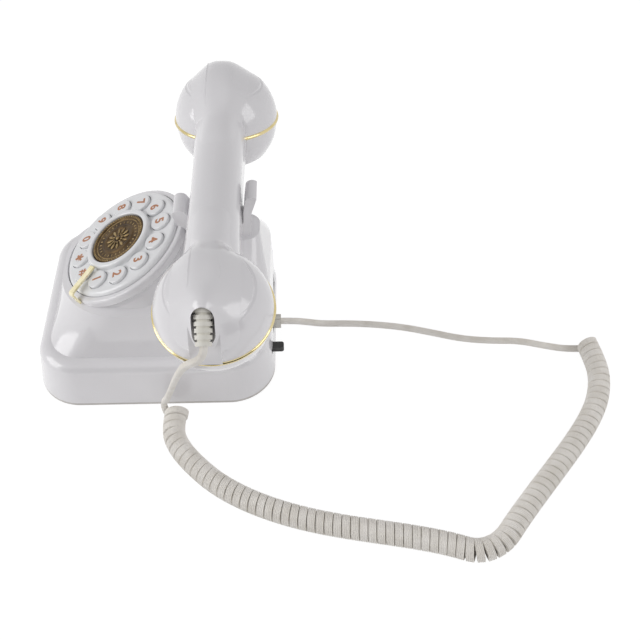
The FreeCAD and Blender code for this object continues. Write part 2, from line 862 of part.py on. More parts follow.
def make_medallion():
    """A plain turned ornament: a rim, a groove, a ring and a domed middle."""
    body = new_body("medallion")
    profile = new_sketch(body, "medal_profile", "XZ_Plane")
    radius = dim.collar_radius - dim.collar_width - dim.seam_clearance
    top = dim.medal_height
    outline(profile, [
        (0, 0), (radius, 0), (radius, top - 0.6), (radius - 0.6, top), (radius - 2.2, top),
        (radius - 2.8, top - 0.6), (radius * 0.62, top - 0.6), (radius * 0.56, top - 0.1),
        (radius * 0.48, top - 0.1), (radius * 0.42, top - 0.6), (radius * 0.34, top - 0.6), (0, top),
    ], {10: (14, -1)})
    revolve(body, profile)
    on_dial(body)


def make_keys():
    """Twelve round keys; the label of each says its place on the dial."""
    names = ["1", "2", "3", "4", "5", "6", "7", "8", "9", "0", "star", "hash"]
    for name, angle in zip(names, key_angles()):
        body = new_body("key_" + name)
        profile = new_sketch(body, "key_%s_profile" % name, "XZ_Plane")
        radius = dim.key_radius
        edge = as_size(0.7)
        lip = key_hole + dim.key_lip
        lip_top = key_foot - dim.key_lip_height
        outline(profile, [
            (0, -key_foot), (lip, -key_foot), (lip, -lip_top), (radius, -lip_top), (radius, dim.key_rise - edge),
            (radius - edge, dim.key_rise), (0, dim.key_rise),
        ], {4: (edge, 1)})
        revolve(body, profile)
        along = dim.key_circle * cosine(angle)
        up = dim.key_circle * sine(angle)
        place(body, along, dim.dial_y + up * cosine(dim.dial_tilt), dial_z + up * sine(dim.dial_tilt),
              Vector(1, 0, 0), dim.dial_tilt)


def make_finger_stop():
    """A bent strip from beside the bezel, up and over the dial, between the collar and the keys."""
    body = new_body("finger_stop")
    strip = new_sketch(body, "stop_strip", "XZ_Plane")
    top = dim.stop_height
    thick = dim.stop_thickness
    outside = bezel_radius + 0.25
    inside = dim.collar_radius + 0.8
    bend = as_size(2.4)
    leg = dim.bezel_drop + 2.2
    outline(strip, [
        (outside, -leg), (outside + thick, -leg),
        (outside + thick, top - bend), (outside + thick - bend, top), (inside, top), (inside, top - thick),
        (outside - bend + thick, top - thick), (outside, top - bend),
    ], {2: (bend, 1), 6: (bend - thick, -1)})
    pad(body, strip, dim.stop_width, symmetric=True)
    turn = dim.stop_angle
    tilt = dim.dial_tilt
    body.Placement = Placement(
        Vector(0, dim.dial_y.number, dial_z.number),
        Rotation(Vector(1, 0, 0), tilt.number) * Rotation(Vector(0, 0, 1), -turn.number))
    bind(body, ".Placement.Base.y", dim.dial_y)
    bind(body, ".Placement.Base.z", dial_z)


def make_keypad():
    mat = new_body("keypad_mat")
    sheet_sketch = new_sketch(mat, "mat_sheet", lift=-mat_bottom)
    circle(sheet_sketch, 0, 0, dim.pad_radius)
    for x, y in dial_post_places():
        circle(sheet_sketch, x, y, 3)
    pad(mat, sheet_sketch, dim.mat_thickness)
    domes = new_sketch(mat, "mat_domes", lift=-(mat_bottom - dim.mat_thickness))
    for angle in key_angles():
        circle(domes, dim.key_circle * cosine(angle), dim.key_circle * sine(angle), 5)
    pad(mat, domes, dim.dome_height)
    on_dial(mat)
    board = new_body("keypad_board")
    disc = new_sketch(board, "keypad_disc", lift=-(mat_bottom + dim.board_thickness))
    circle(disc, 0, 0, dim.pad_radius)
    for x, y in dial_post_places():
        circle(disc, x, y, 1.3)
    pad(board, disc, dim.board_thickness)
    on_dial(board)
    screws = new_body("keypad_screws")
    heads = new_sketch(screws, "keypad_heads", lift=-(mat_bottom + dim.board_thickness))
    shanks = new_sketch(screws, "keypad_shanks", lift=-(mat_bottom + dim.board_thickness + 0.2))
    for x, y in dial_post_places():
        circle(heads, x, y, 2)
        circle(shanks, x, y, 1)
    screws.AllowCompound = True
    pad(screws, heads, 1.2, reverse=True)
    pad(screws, shanks, dim.board_thickness + 3.2)
    on_dial(screws)


# Cradle and hook switch


def make_cradle():
    body = new_body("cradle_fork")
    side = new_sketch(body, "fork_side", "YZ_Plane")
    foot = dim.ridge_height
    front = handset_y - dim.fork_front
    rear = handset_y + dim.fork_rear
    bay_front = grip_y - dim.grip_half - dim.valley_clearance
    bay_rear = grip_y + dim.grip_half + dim.valley_clearance
    corner = as_size(2.5)
    outline(side, [
        (front, foot), (front, foot + 3.2), (front - 1.6, foot + 6.6), (front - 6, foot + 9.8),
        (front - 7.6, foot + 17), (front, foot + 19), (bay_front, valley + corner + 1), (bay_front, valley + corner),
        (bay_front + corner, valley), (bay_rear - corner, valley), (bay_rear, valley + corner),
        (bay_rear + 0.3, valley + 9), (bay_rear + 1.6, foot + 26), (rear + 4.6, foot + 28.5),
        (rear + 1, foot + 17), (rear, foot),
    ], {4: (4.2, -1), 7: (corner, 1), 9: (corner, 1), 12: (3.9, -1)})
    pad(body, side, dim.fork_half * 2, symmetric=True)
    tenon = new_sketch(body, "tenon", lift=foot)
    rounded_rectangle(tenon, -dim.tenon_half, dim.tenon_half, tenon_front(), tenon_rear(), 0.8)
    pad(body, tenon, dim.tenon_depth, reverse=True)
    bore = new_sketch(body, "plunger_bore", lift=valley + 1)
    circle(bore, 0, grip_y, dim.plunger_radius + 0.3)
    pocket(body, bore, dim.valley_height + dim.tenon_depth + 2)
    pilots = new_sketch(body, "fork_pilots", lift=tenon_bottom)
    for y in cradle_screw_places():
        circle(pilots, 0, y, 1.55)
    pocket(body, pilots, 9, reverse=True)


def cradle_screw_places():
    reach = dim.grip_half - 4
    return [grip_y - reach, grip_y + reach]


def make_hook_switch():
    block = new_body("hook_switch")
    outer = new_sketch(block, "hook_block", lift=tenon_bottom - dim.hook_block_height)
    rectangle(outer, -8, 8, tenon_front() + 0.5, tenon_rear() - 0.5)
    pad(block, outer, dim.hook_block_height)
    well = new_sketch(block, "hook_well", lift=tenon_bottom + 1)
    circle(well, 0, grip_y, dim.plunger_radius + 1.9)
    pocket(block, well, dim.hook_block_height - 1)
    holes = new_sketch(block, "hook_holes", lift=tenon_bottom + 1)
    for y in cradle_screw_places():
        circle(holes, 0, y, 1.8)
    pocket(block, holes, dim.hook_block_height + 2)
    ears = new_sketch(block, "hook_ears", lift=tenon_bottom - dim.hook_block_height - 1)
    for y, way in zip(cradle_screw_places(), (-1, 1)):
        low = y - 3.6 if way > 0 else tenon_front()
        high = tenon_rear() if way > 0 else y + 3.6
        rectangle(ears, -9, 9, low, high)
    pocket(block, ears, dim.hook_block_height - 3, reverse=True)
    group("cradle_screws", [
        screw("cradle_screw", 1.5, 2.9, 11, 1.6, 0, y, tenon_bottom - 4, False) for y in cradle_screw_places()])
    plunger = new_body("hook_plunger")
    profile = new_sketch(plunger, "plunger_profile", "XZ_Plane")
    top = grip_bottom - 0.3
    radius = dim.plunger_radius
    outline(profile, [
        (0, spring_top), (radius + 1.4, spring_top), (radius + 1.4, spring_top + 1.6), (radius, spring_top + 1.6),
        (radius, top - 1.2), (radius - 1.2, top), (0, top)], {4: (1.2, 1)})
    revolve(plunger, profile)
    place(plunger, 0, grip_y, 0)
    spring = new_body("hook_spring")
    coil = new_sketch(spring, "spring_ring", lift=spring_bottom)
    for radius in (dim.plunger_radius + 0.9, dim.plunger_radius - 0.1):
        circle(coil, 0, 0, radius)
    pad(spring, coil, dim.spring_length)
    place(spring, 0, grip_y, 0)


# Handset


def capsule_sketch(body, name, side):
    """A sketch through one capsule's axis: its Y is the axis, its X points outward times the side."""
    return new_sketch(body, name, "XZ_Plane", 0, (side * dim.capsule_reach, capsule_height),
                      -side * dim.capsule_tilt)


def place_capsule(body, side):
    place(body, side * dim.capsule_reach, handset_y, capsule_height, Vector(0, side, 0), dim.capsule_tilt)


def grip_section(body, name, x, half, drop):
    """An upright section of the grip: flat below, straight sides and a round back."""
    sketch = new_sketch(body, name, "YZ_Plane", x)
    low = grip_bottom
    crown = half * 0.96
    top = low + dim.grip_height - drop
    radius = (half * half + crown * crown) / (2 * crown)
    corner = as_size(3)
    middle = -dim.grip_offset
    outline(sketch, [
        (middle - half + corner, low), (middle + half - corner, low), (middle + half, low + corner),
        (middle + half, top - crown), (middle, top), (middle - half, top - crown), (middle - half, low + corner),
    ], {1: (corner, 1), 3: (radius, 1), 4: (radius, 1), 6: (corner, 1)})
    return sketch


def dome_outline(sketch, skin, drop):
    """Half a dome's section: a drum, a round shoulder, a small ledge and a crown; drawn in by the skin."""
    radius = dim.ring_radius - skin
    ledge_radius = dim.dome_ledge_radius - skin
    ledge_rise = dim.dome_ledge_rise - skin
    crown_radius = dim.crown_radius - skin
    crown_rise = dim.crown_rise - skin
    height = dim.dome_rise - dim.crown_rise
    crown = (crown_radius * crown_radius + height * height) / (2 * height)
    outline(sketch, [
        (0, -drop), (radius, -drop), (ledge_radius, ledge_rise), (crown_radius + 0.4, ledge_rise + 0.6),
        (crown_radius, crown_rise), (0, dim.dome_rise - skin),
    ], {1: (dim.ring_radius * 1.05, 1), 4: (crown, 1)})


def make_handset_shell():
    body = new_body("handset_shell")
    place(body, 0, handset_y, 0)
    reach = grip_reach
    middle_half = dim.grip_half + 0.2
    loft(body, [
        grip_section(body, "grip_far", -reach, dim.grip_end_half, 1.5),
        grip_section(body, "grip_far_middle", -reach * 0.5, middle_half, 0),
        grip_section(body, "grip_middle", 0, dim.grip_half, 0),
        grip_section(body, "grip_near_middle", reach * 0.5, middle_half, 0),
        grip_section(body, "grip_near", reach, dim.grip_end_half, 1.5),
    ])
    for side, name in ((-1, "far"), (1, "near")):
        dome = capsule_sketch(body, name + "_dome", side)
        dome_outline(dome, as_size(0), as_size(0))
        revolve(body, dome)
        add_rib(body, name, side)
    for side, name in ((-1, "far"), (1, "near")):
        room = capsule_sketch(body, name + "_cap_room", side)
        clear = dim.ring_radius + dim.ring_proud + dim.seam_clearance
        outline(room, [(0, -(dim.cap_depth + 8)), (clear, -(dim.cap_depth + 8)), (clear, 0), (0, 0)])
        revolve(body, room, cut=True)
        hollow = capsule_sketch(body, name + "_dome_room", side)
        dome_outline(hollow, dim.shell_wall, as_size(1))
        revolve(body, hollow, cut=True)
    cut_relief_channel(body)


def add_rib(body, name, side):
    """The raised back of the grip, carried over the dome as a rounded band."""
    rib = capsule_sketch(body, name + "_rib", side)
    drop = as_size(1.5)
    radius = dim.dome_rise + dim.rib_proud + drop
    inner = dim.ring_radius - 2
    outer = radius - 0.3
    inner_rise = root(radius * radius - inner * inner) - drop
    outer_rise = root(radius * radius - outer * outer) - drop
    if side > 0:
        outline(rib, [(-inner, outer_rise), (outer, outer_rise), (0, radius - drop), (-inner, inner_rise)],
                {1: (radius, 1), 2: (radius, 1)})
    else:
        outline(rib, [(-outer, outer_rise), (inner, outer_rise), (inner, inner_rise), (0, radius - drop)],
                {2: (radius, 1), 3: (radius, 1)})
    rib.AttachmentOffset.Base.z = dim.grip_offset.number
    bind(rib, ".AttachmentOffset.Base.z", dim.grip_offset)
    pad(body, rib, dim.rib_width, symmetric=True)


def relief_start():
    """Where the strain relief leaves the shell, from the near capsule's centre: out and up."""
    return dim.ring_radius * 0.30, dim.dome_rise + dim.rib_proud - 1.6


def relief_axis(sketch_body, name):
    """A sketch through the strain relief's axis: its Y is the axis, pointing out of the shell."""
    out, up = relief_start()
    tilt = dim.capsule_tilt
    x = dim.capsule_reach + out * cosine(tilt) + up * sine(tilt)
    z = capsule_height - out * sine(tilt) + up * cosine(tilt)
    turn = -(dim.relief_slope + tilt + 90)
    return new_sketch(sketch_body, name, "XZ_Plane", dim.grip_offset, (x, z), turn)


def cut_relief_channel(body):
    channel = relief_axis(body, "relief_channel")
    clear = dim.relief_radius + 0.5
    outline(channel, [(0, 0), (clear, 0), (clear, dim.relief_length + 12), (0, dim.relief_length + 12)])
    revolve(body, channel, cut=True)


def make_strain_relief():
    body = new_body("strain_relief")
    profile = relief_axis(body, "relief_profile")
    length = dim.relief_length
    rings = 6
    root_length = length * 0.2
    pitch = (length - root_length) / rings
    points = [(0, 0), (dim.relief_radius, 0), (dim.relief_radius, root_length)]
    for number in range(rings):
        start = root_length + pitch * number
        shrink = (dim.relief_radius - dim.relief_tip_radius) * ((number + 1) / rings)
        wide = dim.relief_radius - shrink
        points += [(wide - 1, start), (wide - 1, start + pitch * 0.35), (wide, start + pitch * 0.35),
                   (wide, start + pitch)]
    points.append((0, length))
    outline(profile, points)
    revolve(body, profile)
    place(body, 0, handset_y, 0)


def make_caps():
    for label, side, hole_circle in (("ear_cap", -1, 8), ("mouth_cap", 1, 6)):
        body = new_body(label)
        profile = new_sketch(body, label + "_profile", "XZ_Plane")
        top = -dim.ring_height
        skin = dim.shell_wall
        radius = dim.ring_radius
        face = dim.cap_face_radius
        depth = dim.cap_depth
        knee = radius * 0.97
        outline(profile, [
            (0, -depth), (face, -depth), (radius * 0.806, -(depth * 0.83)), (knee, -(depth * 0.32)), (radius, top),
            (radius - skin, top), (knee - skin, -(depth * 0.32)), (radius * 0.806 - skin, -(depth * 0.83 - skin * 0.5)),
            (face - skin, -cap_floor), (0, -cap_floor),
        ], {1: (7, 1), 2: (radius * 0.9, 1)})
        revolve(body, profile)
        sound = new_sketch(body, label + "_holes", lift=-cap_floor + 1)
        circle(sound, hole_circle, 0, 1.1)
        hole = pocket(body, sound, dim.shell_wall + 2)
        polar(body, [hole], 6, sound, label + "_sound_holes")
        place_capsule(body, side)
    for label, side in (("ear_ring", -1), ("mouth_ring", 1)):
        body = new_body(label)
        band = new_sketch(body, label + "_band", "XZ_Plane")
        outer = dim.ring_radius + dim.ring_proud
        inner = dim.ring_radius - dim.shell_wall
        edge = as_size(0.35)
        top = dim.ring_height
        outline(band, [
            (inner, -top), (outer - edge, -top), (outer, -(top - edge)), (outer, -edge), (outer - edge, 0), (inner, 0),
        ], {1: (edge, 1), 3: (edge, 1)})
        revolve(body, band)
        place_capsule(body, side)


def make_transducers():
    receiver = new_body("receiver")
    profile = new_sketch(receiver, "receiver_profile", "XZ_Plane")
    radius = dim.receiver_radius
    high = -cap_floor + dim.receiver_height
    outline(profile, [(0, -cap_floor), (radius, -cap_floor), (radius, high - 3), (radius * 0.7, high - 3),
                      (radius * 0.7, high), (0, high)])
    revolve(receiver, profile)
    place_capsule(receiver, -1)
    holder = new_body("mic_holder")
    ring = new_sketch(holder, "holder_ring", lift=-cap_floor)
    circle(ring, 0, 0, dim.microphone_radius + 3)
    circle(ring, 0, 0, dim.microphone_radius + 0.1)
    pad(holder, ring, dim.microphone_height + 1)
    place_capsule(holder, 1)
    capsule = new_body("microphone")
    disc = new_sketch(capsule, "microphone_disc", lift=-cap_floor)
    circle(disc, 0, 0, dim.microphone_radius)
    pad(capsule, disc, dim.microphone_height)
    place_capsule(capsule, 1)


# Cord

# The line of the coil on the table, and of the two plain ends, as points from the photo
COIL_LINE = [
    (74.5, 11.6), (88, 9.8), (100.6, 14.6), (112.8, 24.4), (125.3, 37.6), (135.4, 53.3), (143.3, 70.4),
    (149.5, 88.4), (154.6, 109), (158.7, 131), (162.6, 152), (167, 170), (172.3, 184.5), (166.6, 198.4),
    (153, 208.6), (138.5, 220.5), (121, 235.4), (103.8, 249.8), (87.4, 262), (71.6, 270.8), (55, 275.2),
    (41, 274.8), (28, 272.4),
]
HANDSET_LEAD = [(118.5, 31.8, 110.5), (110.8, 27.4, 97), (104.2, 22, 80.5), (95.4, 16, 58), (85.4, 9.8, 34.5)]
BASE_LEAD = [(25.4, 247.5), (20.6, 231), (20.2, 212), (18, 193), (12.6, 175), (7.6, 157), (4.6, 138),
             (3.2, 119), (3, 102)]
JACK_RISE = [(6.5, 91.5, 8)]


def rounded_route(points, label):
    """Straight runs with tangent arcs at the corners; prints the tightest radius."""
    edges = []
    start = points[0]
    tightest = None
    for before, corner, after in zip(points, points[1:], points[2:]):
        back = (before - corner).normalize()
        ahead = (after - corner).normalize()
        turn = math.pi - back.getAngle(ahead)
        run = min((corner - before).Length, (after - corner).Length)
        reach = 0.45 * run
        radius = reach / math.tan(turn / 2)
        first = corner + back * reach
        last = corner + ahead * reach
        toward = (back + ahead).normalize()
        middle = corner + toward * (radius / math.cos(turn / 2) - radius)
        edges.append(Part.LineSegment(start, first).toShape())
        edges.append(Part.Arc(first, middle, last).toShape())
        start = last
        tightest = radius if tightest is None else min(tightest, radius)
    edges.append(Part.LineSegment(start, points[-1]).toShape())
    print("%s: tightest bend %.1f mm" % (label, tightest))
    return Part.Wire(edges)


def tube(wire, diameter):
    """A round tube along a wire, with its volume compared with section times length."""
    first = wire.Edges[0]
    ring = Part.Circle(first.valueAt(first.FirstParameter), first.tangentAt(first.FirstParameter), diameter / 2)
    solid = wire.makePipeShell([Part.Wire([ring.toShape()])], True, False)
    expected = math.pi * diameter * diameter / 4 * wire.Length
    print("  length %.1f mm, volume %.3f of section times length" % (wire.Length, solid.Volume / expected))
    return solid


def along(edges, distance):
    """The point and the tangent at a distance along joined edges."""
    for edge in edges:
        if distance <= edge.Length or edge is edges[-1]:
            spot = edge.getParameterByLength(min(max(distance, 0), edge.Length))
            return edge.valueAt(spot), edge.tangentAt(spot)
        distance -= edge.Length


def curl_turns():
    """Whole curls and a last quarter, so that the cord leaves the coil along the table."""
    return dim.curl_count.number + 0.25


def curl_point(edges, total, share):
    """A point of the helix at a share of the coil's length; the first turn is looser."""
    spot, forward = along(edges, total * share)
    turns = curl_turns()
    looser = max(0, 1 - share * turns)
    tight = dim.curl_radius.number
    radius = tight + (dim.curl_first_radius.number - tight) * looser
    left = Vector(-forward.y, forward.x, 0)
    angle = 2 * math.pi * turns * share
    lift = radius + dim.cord_diameter.number / 2 + 0.1
    return Vector(spot.x, spot.y, lift) - left * (radius * math.cos(angle)) - Vector(0, 0, radius * math.sin(angle))


def curl_tangent(edges, total, share):
    step = 0.00002
    return (curl_point(edges, total, share + step) - curl_point(edges, total, share - step)).normalize()


def arc_between(start, heading, end):
    chord = end - start
    unit = Vector(chord).normalize()
    angle = heading.getAngle(unit)
    side = (heading - unit * math.cos(angle)) * (1 / math.sin(angle))
    middle = (start + end) * 0.5 + side * (chord.Length / 2 * math.tan(angle / 2))
    return Part.Arc(start, middle, end).toShape()


def biarc(start, heading, end, last_heading):
    """Two arcs that meet smoothly, from one point and heading to another."""
    gap = end - start
    both = heading + last_heading
    spread = 2 * (1 - heading.dot(last_heading))
    reach = (-gap.dot(both) + math.sqrt(gap.dot(both) ** 2 + spread * gap.dot(gap))) / spread
    joint = (start + end + (heading - last_heading) * reach) * 0.5
    second = arc_between(end, last_heading * -1, joint)
    return [arc_between(start, heading, joint), reversed_arc(second)]


def reversed_arc(edge):
    first, last = edge.FirstParameter, edge.LastParameter
    return Part.Arc(edge.valueAt(last), edge.valueAt((first + last) / 2), edge.valueAt(first)).toShape()


def least_self_gap(points, skip):
    """The least distance between points of the helix that are more than skip points apart."""
    least = 1e9
    for number, spot in enumerate(points):
        for other in points[number + skip:number + 6 * skip]:
            least = min(least, (spot - other).Length)
    return least


def make_cord():
    line = rounded_route([Vector(x, y, 0) for x, y in COIL_LINE], "coil axis")
    edges = line.Edges
    total = line.Length
    turns = curl_turns()
    ends = [number / 2 / turns for number in range(int(2 * turns) + 1)] + [1]
    spots = [curl_point(edges, total, share) for share in ends]
    headings = [curl_tangent(edges, total, share) for share in ends]
    arcs = []
    for number in range(len(spots) - 1):
        arcs += biarc(spots[number], headings[number], spots[number + 1], headings[number + 1])
    helix = Part.Wire(arcs)
    samples = helix.discretize(Number=24 * int(dim.curl_count.number))
    diameter = dim.cord_diameter.number
    print("curls: least gap %.2f mm" % (least_self_gap(samples, 12) - diameter))
    solids = {"cord_coil": tube(helix, diameter)}
    top = relief_tip()
    lead = [top, top + relief_heading() * 6] + [Vector(*spot) for spot in HANDSET_LEAD]
    lead += [spots[0] - headings[0] * 14, spots[0]]
    solids["cord_handset_lead"] = tube(rounded_route(lead, "handset lead"), diameter)
    jack = Vector(dim.jack_x.number, plug_rear().number, dim.socket_height.number)
    lead = [spots[-1], spots[-1] + headings[-1] * 11]
    lead += [Vector(x, y, diameter / 2 + 0.1) for x, y in BASE_LEAD] + [Vector(*spot) for spot in JACK_RISE]
    lead += [jack + Vector(0, 8, 0), jack]
    solids["cord_base_lead"] = tube(rounded_route(lead, "base lead"), diameter)
    for label, solid in solids.items():
        made = doc.addObject("Part::Feature", label)
        made.Shape = solid
        node(label, made)


def relief_heading():
    """The strain relief's direction, out and down."""
    slope = math.radians(dim.relief_slope.number + dim.capsule_tilt.number)
    return Vector(math.cos(slope), 0, -math.sin(slope))


def relief_tip():
    out, up = (size.number for size in relief_start())
    tilt = math.radians(dim.capsule_tilt.number)
    start = Vector(dim.capsule_reach.number + out * math.cos(tilt) + up * math.sin(tilt), grip_y.number,
                   capsule_height.number - out * math.sin(tilt) + up * math.cos(tilt))
    return start + relief_heading() * dim.relief_length.number


def export_all():
    """Write each sub-part, after a look at its state and its solid."""
    doc.recompute()
    for item in doc.Objects:
        if "Invalid" in item.State or "Error" in item.State:
            raise ValueError("%s: %s" % (item.Name, item.State))
    os.makedirs("parts", exist_ok=True)
    for made in NODES:
        shape = made.Shape
        if shape.isNull() or not shape.isValid() or not shape.Solids:
            raise ValueError("no valid solid: " + made.Label)
        shape.exportStep("parts/%s.step" % made.Label)
        print("%-20s %6.0f mm3, %d solids" % (made.Label, shape.Volume, len(shape.Solids)))


make_base_shell()
make_bottom_plate()
make_rubber_feet()
make_bottom_screws()
make_ballast()
make_speaker()
make_board()
make_rear_sockets()
make_ringer_switch()
make_dial_plate()
make_medallion()
make_keys()
make_finger_stop()
make_keypad()
make_cradle()
make_hook_switch()
make_handset_shell()
make_strain_relief()
make_caps()
make_transducers()
make_cord()
export_all()
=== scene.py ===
"""Looks of the retro desk telephone: finishes, small forms on the handset and dial, cord and studio."""

import json
import math

import bmesh
import bpy
from mathutils import Matrix, Vector
from mathutils.bvhtree import BVHTree


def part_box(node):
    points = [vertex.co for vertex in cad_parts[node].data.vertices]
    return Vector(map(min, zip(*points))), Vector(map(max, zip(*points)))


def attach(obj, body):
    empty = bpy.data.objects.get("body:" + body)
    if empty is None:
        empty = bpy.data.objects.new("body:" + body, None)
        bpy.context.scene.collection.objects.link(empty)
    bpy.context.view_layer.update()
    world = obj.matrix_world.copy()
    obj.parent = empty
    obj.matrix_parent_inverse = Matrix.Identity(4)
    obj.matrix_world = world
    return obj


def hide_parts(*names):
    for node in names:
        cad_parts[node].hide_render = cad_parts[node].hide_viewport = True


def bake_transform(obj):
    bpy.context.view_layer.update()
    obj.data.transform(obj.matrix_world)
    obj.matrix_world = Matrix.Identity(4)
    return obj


bl_info = {
    "name": "Retro desk telephone",
    "version": (1, 0, 0),
    "blender": (4, 5, 0),
    "location": "View3D > Sidebar > Telephone",
    "description": "Dresses the packed telephone with its finishes, small forms, cord and studio",
    "category": "Object",
}

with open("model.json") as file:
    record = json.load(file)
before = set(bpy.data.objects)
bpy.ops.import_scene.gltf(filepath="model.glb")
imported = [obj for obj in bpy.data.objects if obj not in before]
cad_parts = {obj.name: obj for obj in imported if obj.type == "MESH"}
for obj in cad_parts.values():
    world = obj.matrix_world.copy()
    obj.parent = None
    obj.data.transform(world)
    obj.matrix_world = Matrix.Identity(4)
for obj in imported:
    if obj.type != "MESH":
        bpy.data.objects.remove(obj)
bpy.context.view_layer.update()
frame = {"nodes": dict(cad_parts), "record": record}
MM = 0.001

# The dial's plane and its keys, as the part's source sets them
DIAL_TILT = math.radians(26.8)
DIAL_CENTRE = Vector((0, -19.3, 79.4)) * MM
KEY_CIRCLE = 29.1 * MM
KEY_TOP = 1.8 * MM
KEY_NAMES = ("1", "2", "3", "4", "5", "6", "7", "8", "9", "0", "star", "hash")

# A nine is a six turned round, because its own outline does not fill when it is made bolder
FIGURES = {"9": "6", "star": "*", "hash": "#"}
BOLDNESS = 0.03

# The handset's domes, grip and rings, as the part's source sets them, with the places in millimetres
DOME_X = 80.5
DOME_Y = 43.5
DOME_Z = 108.8
DOME_TILT = math.radians(11.6)
GRIP_Y = 41.5
RING_HEIGHT = 1.4 * MM
# The gold beads' circle, a little inside the rings' edge
BEAD_CIRCLE = 31.8 * MM
# The mouth's side, where the cord leaves the handset
CORD_SIDE = 1

# The strain relief's axis, as the part's source works it out, with the places in millimetres
RELIEF_START = (96.2, 41.5, 137.3)
RELIEF_TIP = (115.6, 41.5, 121.6)
RELIEF_HEADING = (0.776, 0, -0.631)

# The skins over the handset's back: where they lie in millimetres, and the rows and columns of their grids
SKIN_START_X = 24
WIDENING_X = 54
WIDENING_LENGTH = 14
GRIP_HALF_WIDTH = 13.2
DOME_HALF_WIDTH = 22
DOME_SWEEP = math.radians(86)
GRIP_ROWS = 41
DOME_ROWS = 38
SKIN_COLUMNS = 33

# How a skin is stretched: it starts under the shell at its border and rises within so many cells
SIGHT_HEIGHT = 80 * MM
SKIN_SINK = 0.3 * MM
SKIN_RISE = 1.7 * MM
EDGE_CELLS = 8
STRETCH_TURNS = 62
SOFTEN_TURNS = 10

# The hood's hole for the strain relief, measured along it from its start
HOOD_REACH = 6.0 * MM
HOOD_LIFT = 2.3 * MM
SLOT_REACH = 25.0 * MM
SLOT_RADIUS = 5.9 * MM
SLOT_SINK = 0.2 * MM
SLOT_EDGE = 2.0 * MM

# The cord's route, repeated from the part's source in millimetres
COIL_LINE = (
    (74.5, 11.6), (88, 9.8), (100.6, 14.6), (112.8, 24.4), (125.3, 37.6), (135.4, 53.3), (143.3, 70.4),
    (149.5, 88.4), (154.6, 109), (158.7, 131), (162.6, 152), (167, 170), (172.3, 184.5), (166.6, 198.4),
    (153, 208.6), (138.5, 220.5), (121, 235.4), (103.8, 249.8), (87.4, 262), (71.6, 270.8), (55, 275.2),
    (41, 274.8), (28, 272.4),
)
HANDSET_LEAD = (
    (118.5, 31.8, 110.5), (110.8, 27.4, 97), (104.2, 22, 80.5), (95.4, 16, 58), (85.4, 9.8, 34.5),
)
BASE_LEAD = (
    (25.4, 247.5), (20.6, 231), (20.2, 212), (18, 193), (12.6, 175), (7.6, 157), (4.6, 138), (3.2, 119),
    (3, 102),
)
JACK_RISE = (6.5, 91.5, 8)

# The plug's rear end and the height of the lead on the table, in millimetres
PLUG_END = (10.4, 75.2, 14)
LEAD_HEIGHT = 1.55

# Straight runs where the leads leave the strain relief, meet the curls and enter the plug
RELIEF_RUN = 6 * MM
APPROACH = 5 * MM
COIL_RUN = 11 * MM
PLUG_RUN = 8 * MM

# How the cord is drawn: its points, the curls' gap and last part turn, and the leads' slimmer section
AXIS_POINTS = 24
UPPER_POINTS = 16
LOWER_POINTS = 8
CURL_POINTS = 26
CURL_GAP = 0.25 * MM
LAST_TURN = 0.25
LEAD_SHARE = 0.76
LEAD_ROUNDING = 0.6
SHARE_TURNS = 12

# The cord's section, in shares of its half width and half thickness
RIBS = 5
RIB_STEP = 0.21
RIB_HOLLOW = 0.74
CORD_EDGE = ((0.96, 0.66), (1.0, 0.0))

# The part of a noise's range over which a finish drifts in colour or in gloss
COLOUR_SPAN = (0.35, 0.65)
GLOSS_SPAN = (0.3, 0.7)

# The studio, in metres
KEY_PLACE = (0.3, -1.0, 0.55)
KEY_SIZE = 0.75
FILL_PLACE = (0.45, 1.0, 0.65)
FILL_SIZE = 0.65
LAMP_AIM = (0.03, 0.05, 0.05)
FLAG_X = 0.5
FLAG_FRONT = -0.5
FLAG_REAR = 0.7
FLAG_TOP = 0.42
FLOOR_GLOW = 1.2
FLOOR_GLOW_SHARE = 0.75

# The camera that took the photograph, as it was fitted to the rings, the base and the dial
CAMERA_PLACE = Vector((404.9, 93.95, 486.8)) * MM
CAMERA_AIM = Vector((0, 100.72, 1.75)) * MM
CAMERA_ROLL = math.radians(-0.32)
CAMERA_LENS = 53.24
CAMERA_CLIP = 10 * MM
SENSOR_WIDTH = 36


def linear(hex_colour):
    """An sRGB hex colour as linear values with an alpha of one."""
    values = []
    for start in (1, 3, 5):
        share = int(hex_colour[start:start + 2], 16) / 255
        values.append(share / 12.92 if share <= 0.04045 else ((share + 0.055) / 1.055) ** 2.4)
    return (*values, 1.0)


def per_mm(size):
    """A pattern scale, for object coordinates in metres, that repeats every so many millimetres."""
    return 1 / (size * MM)


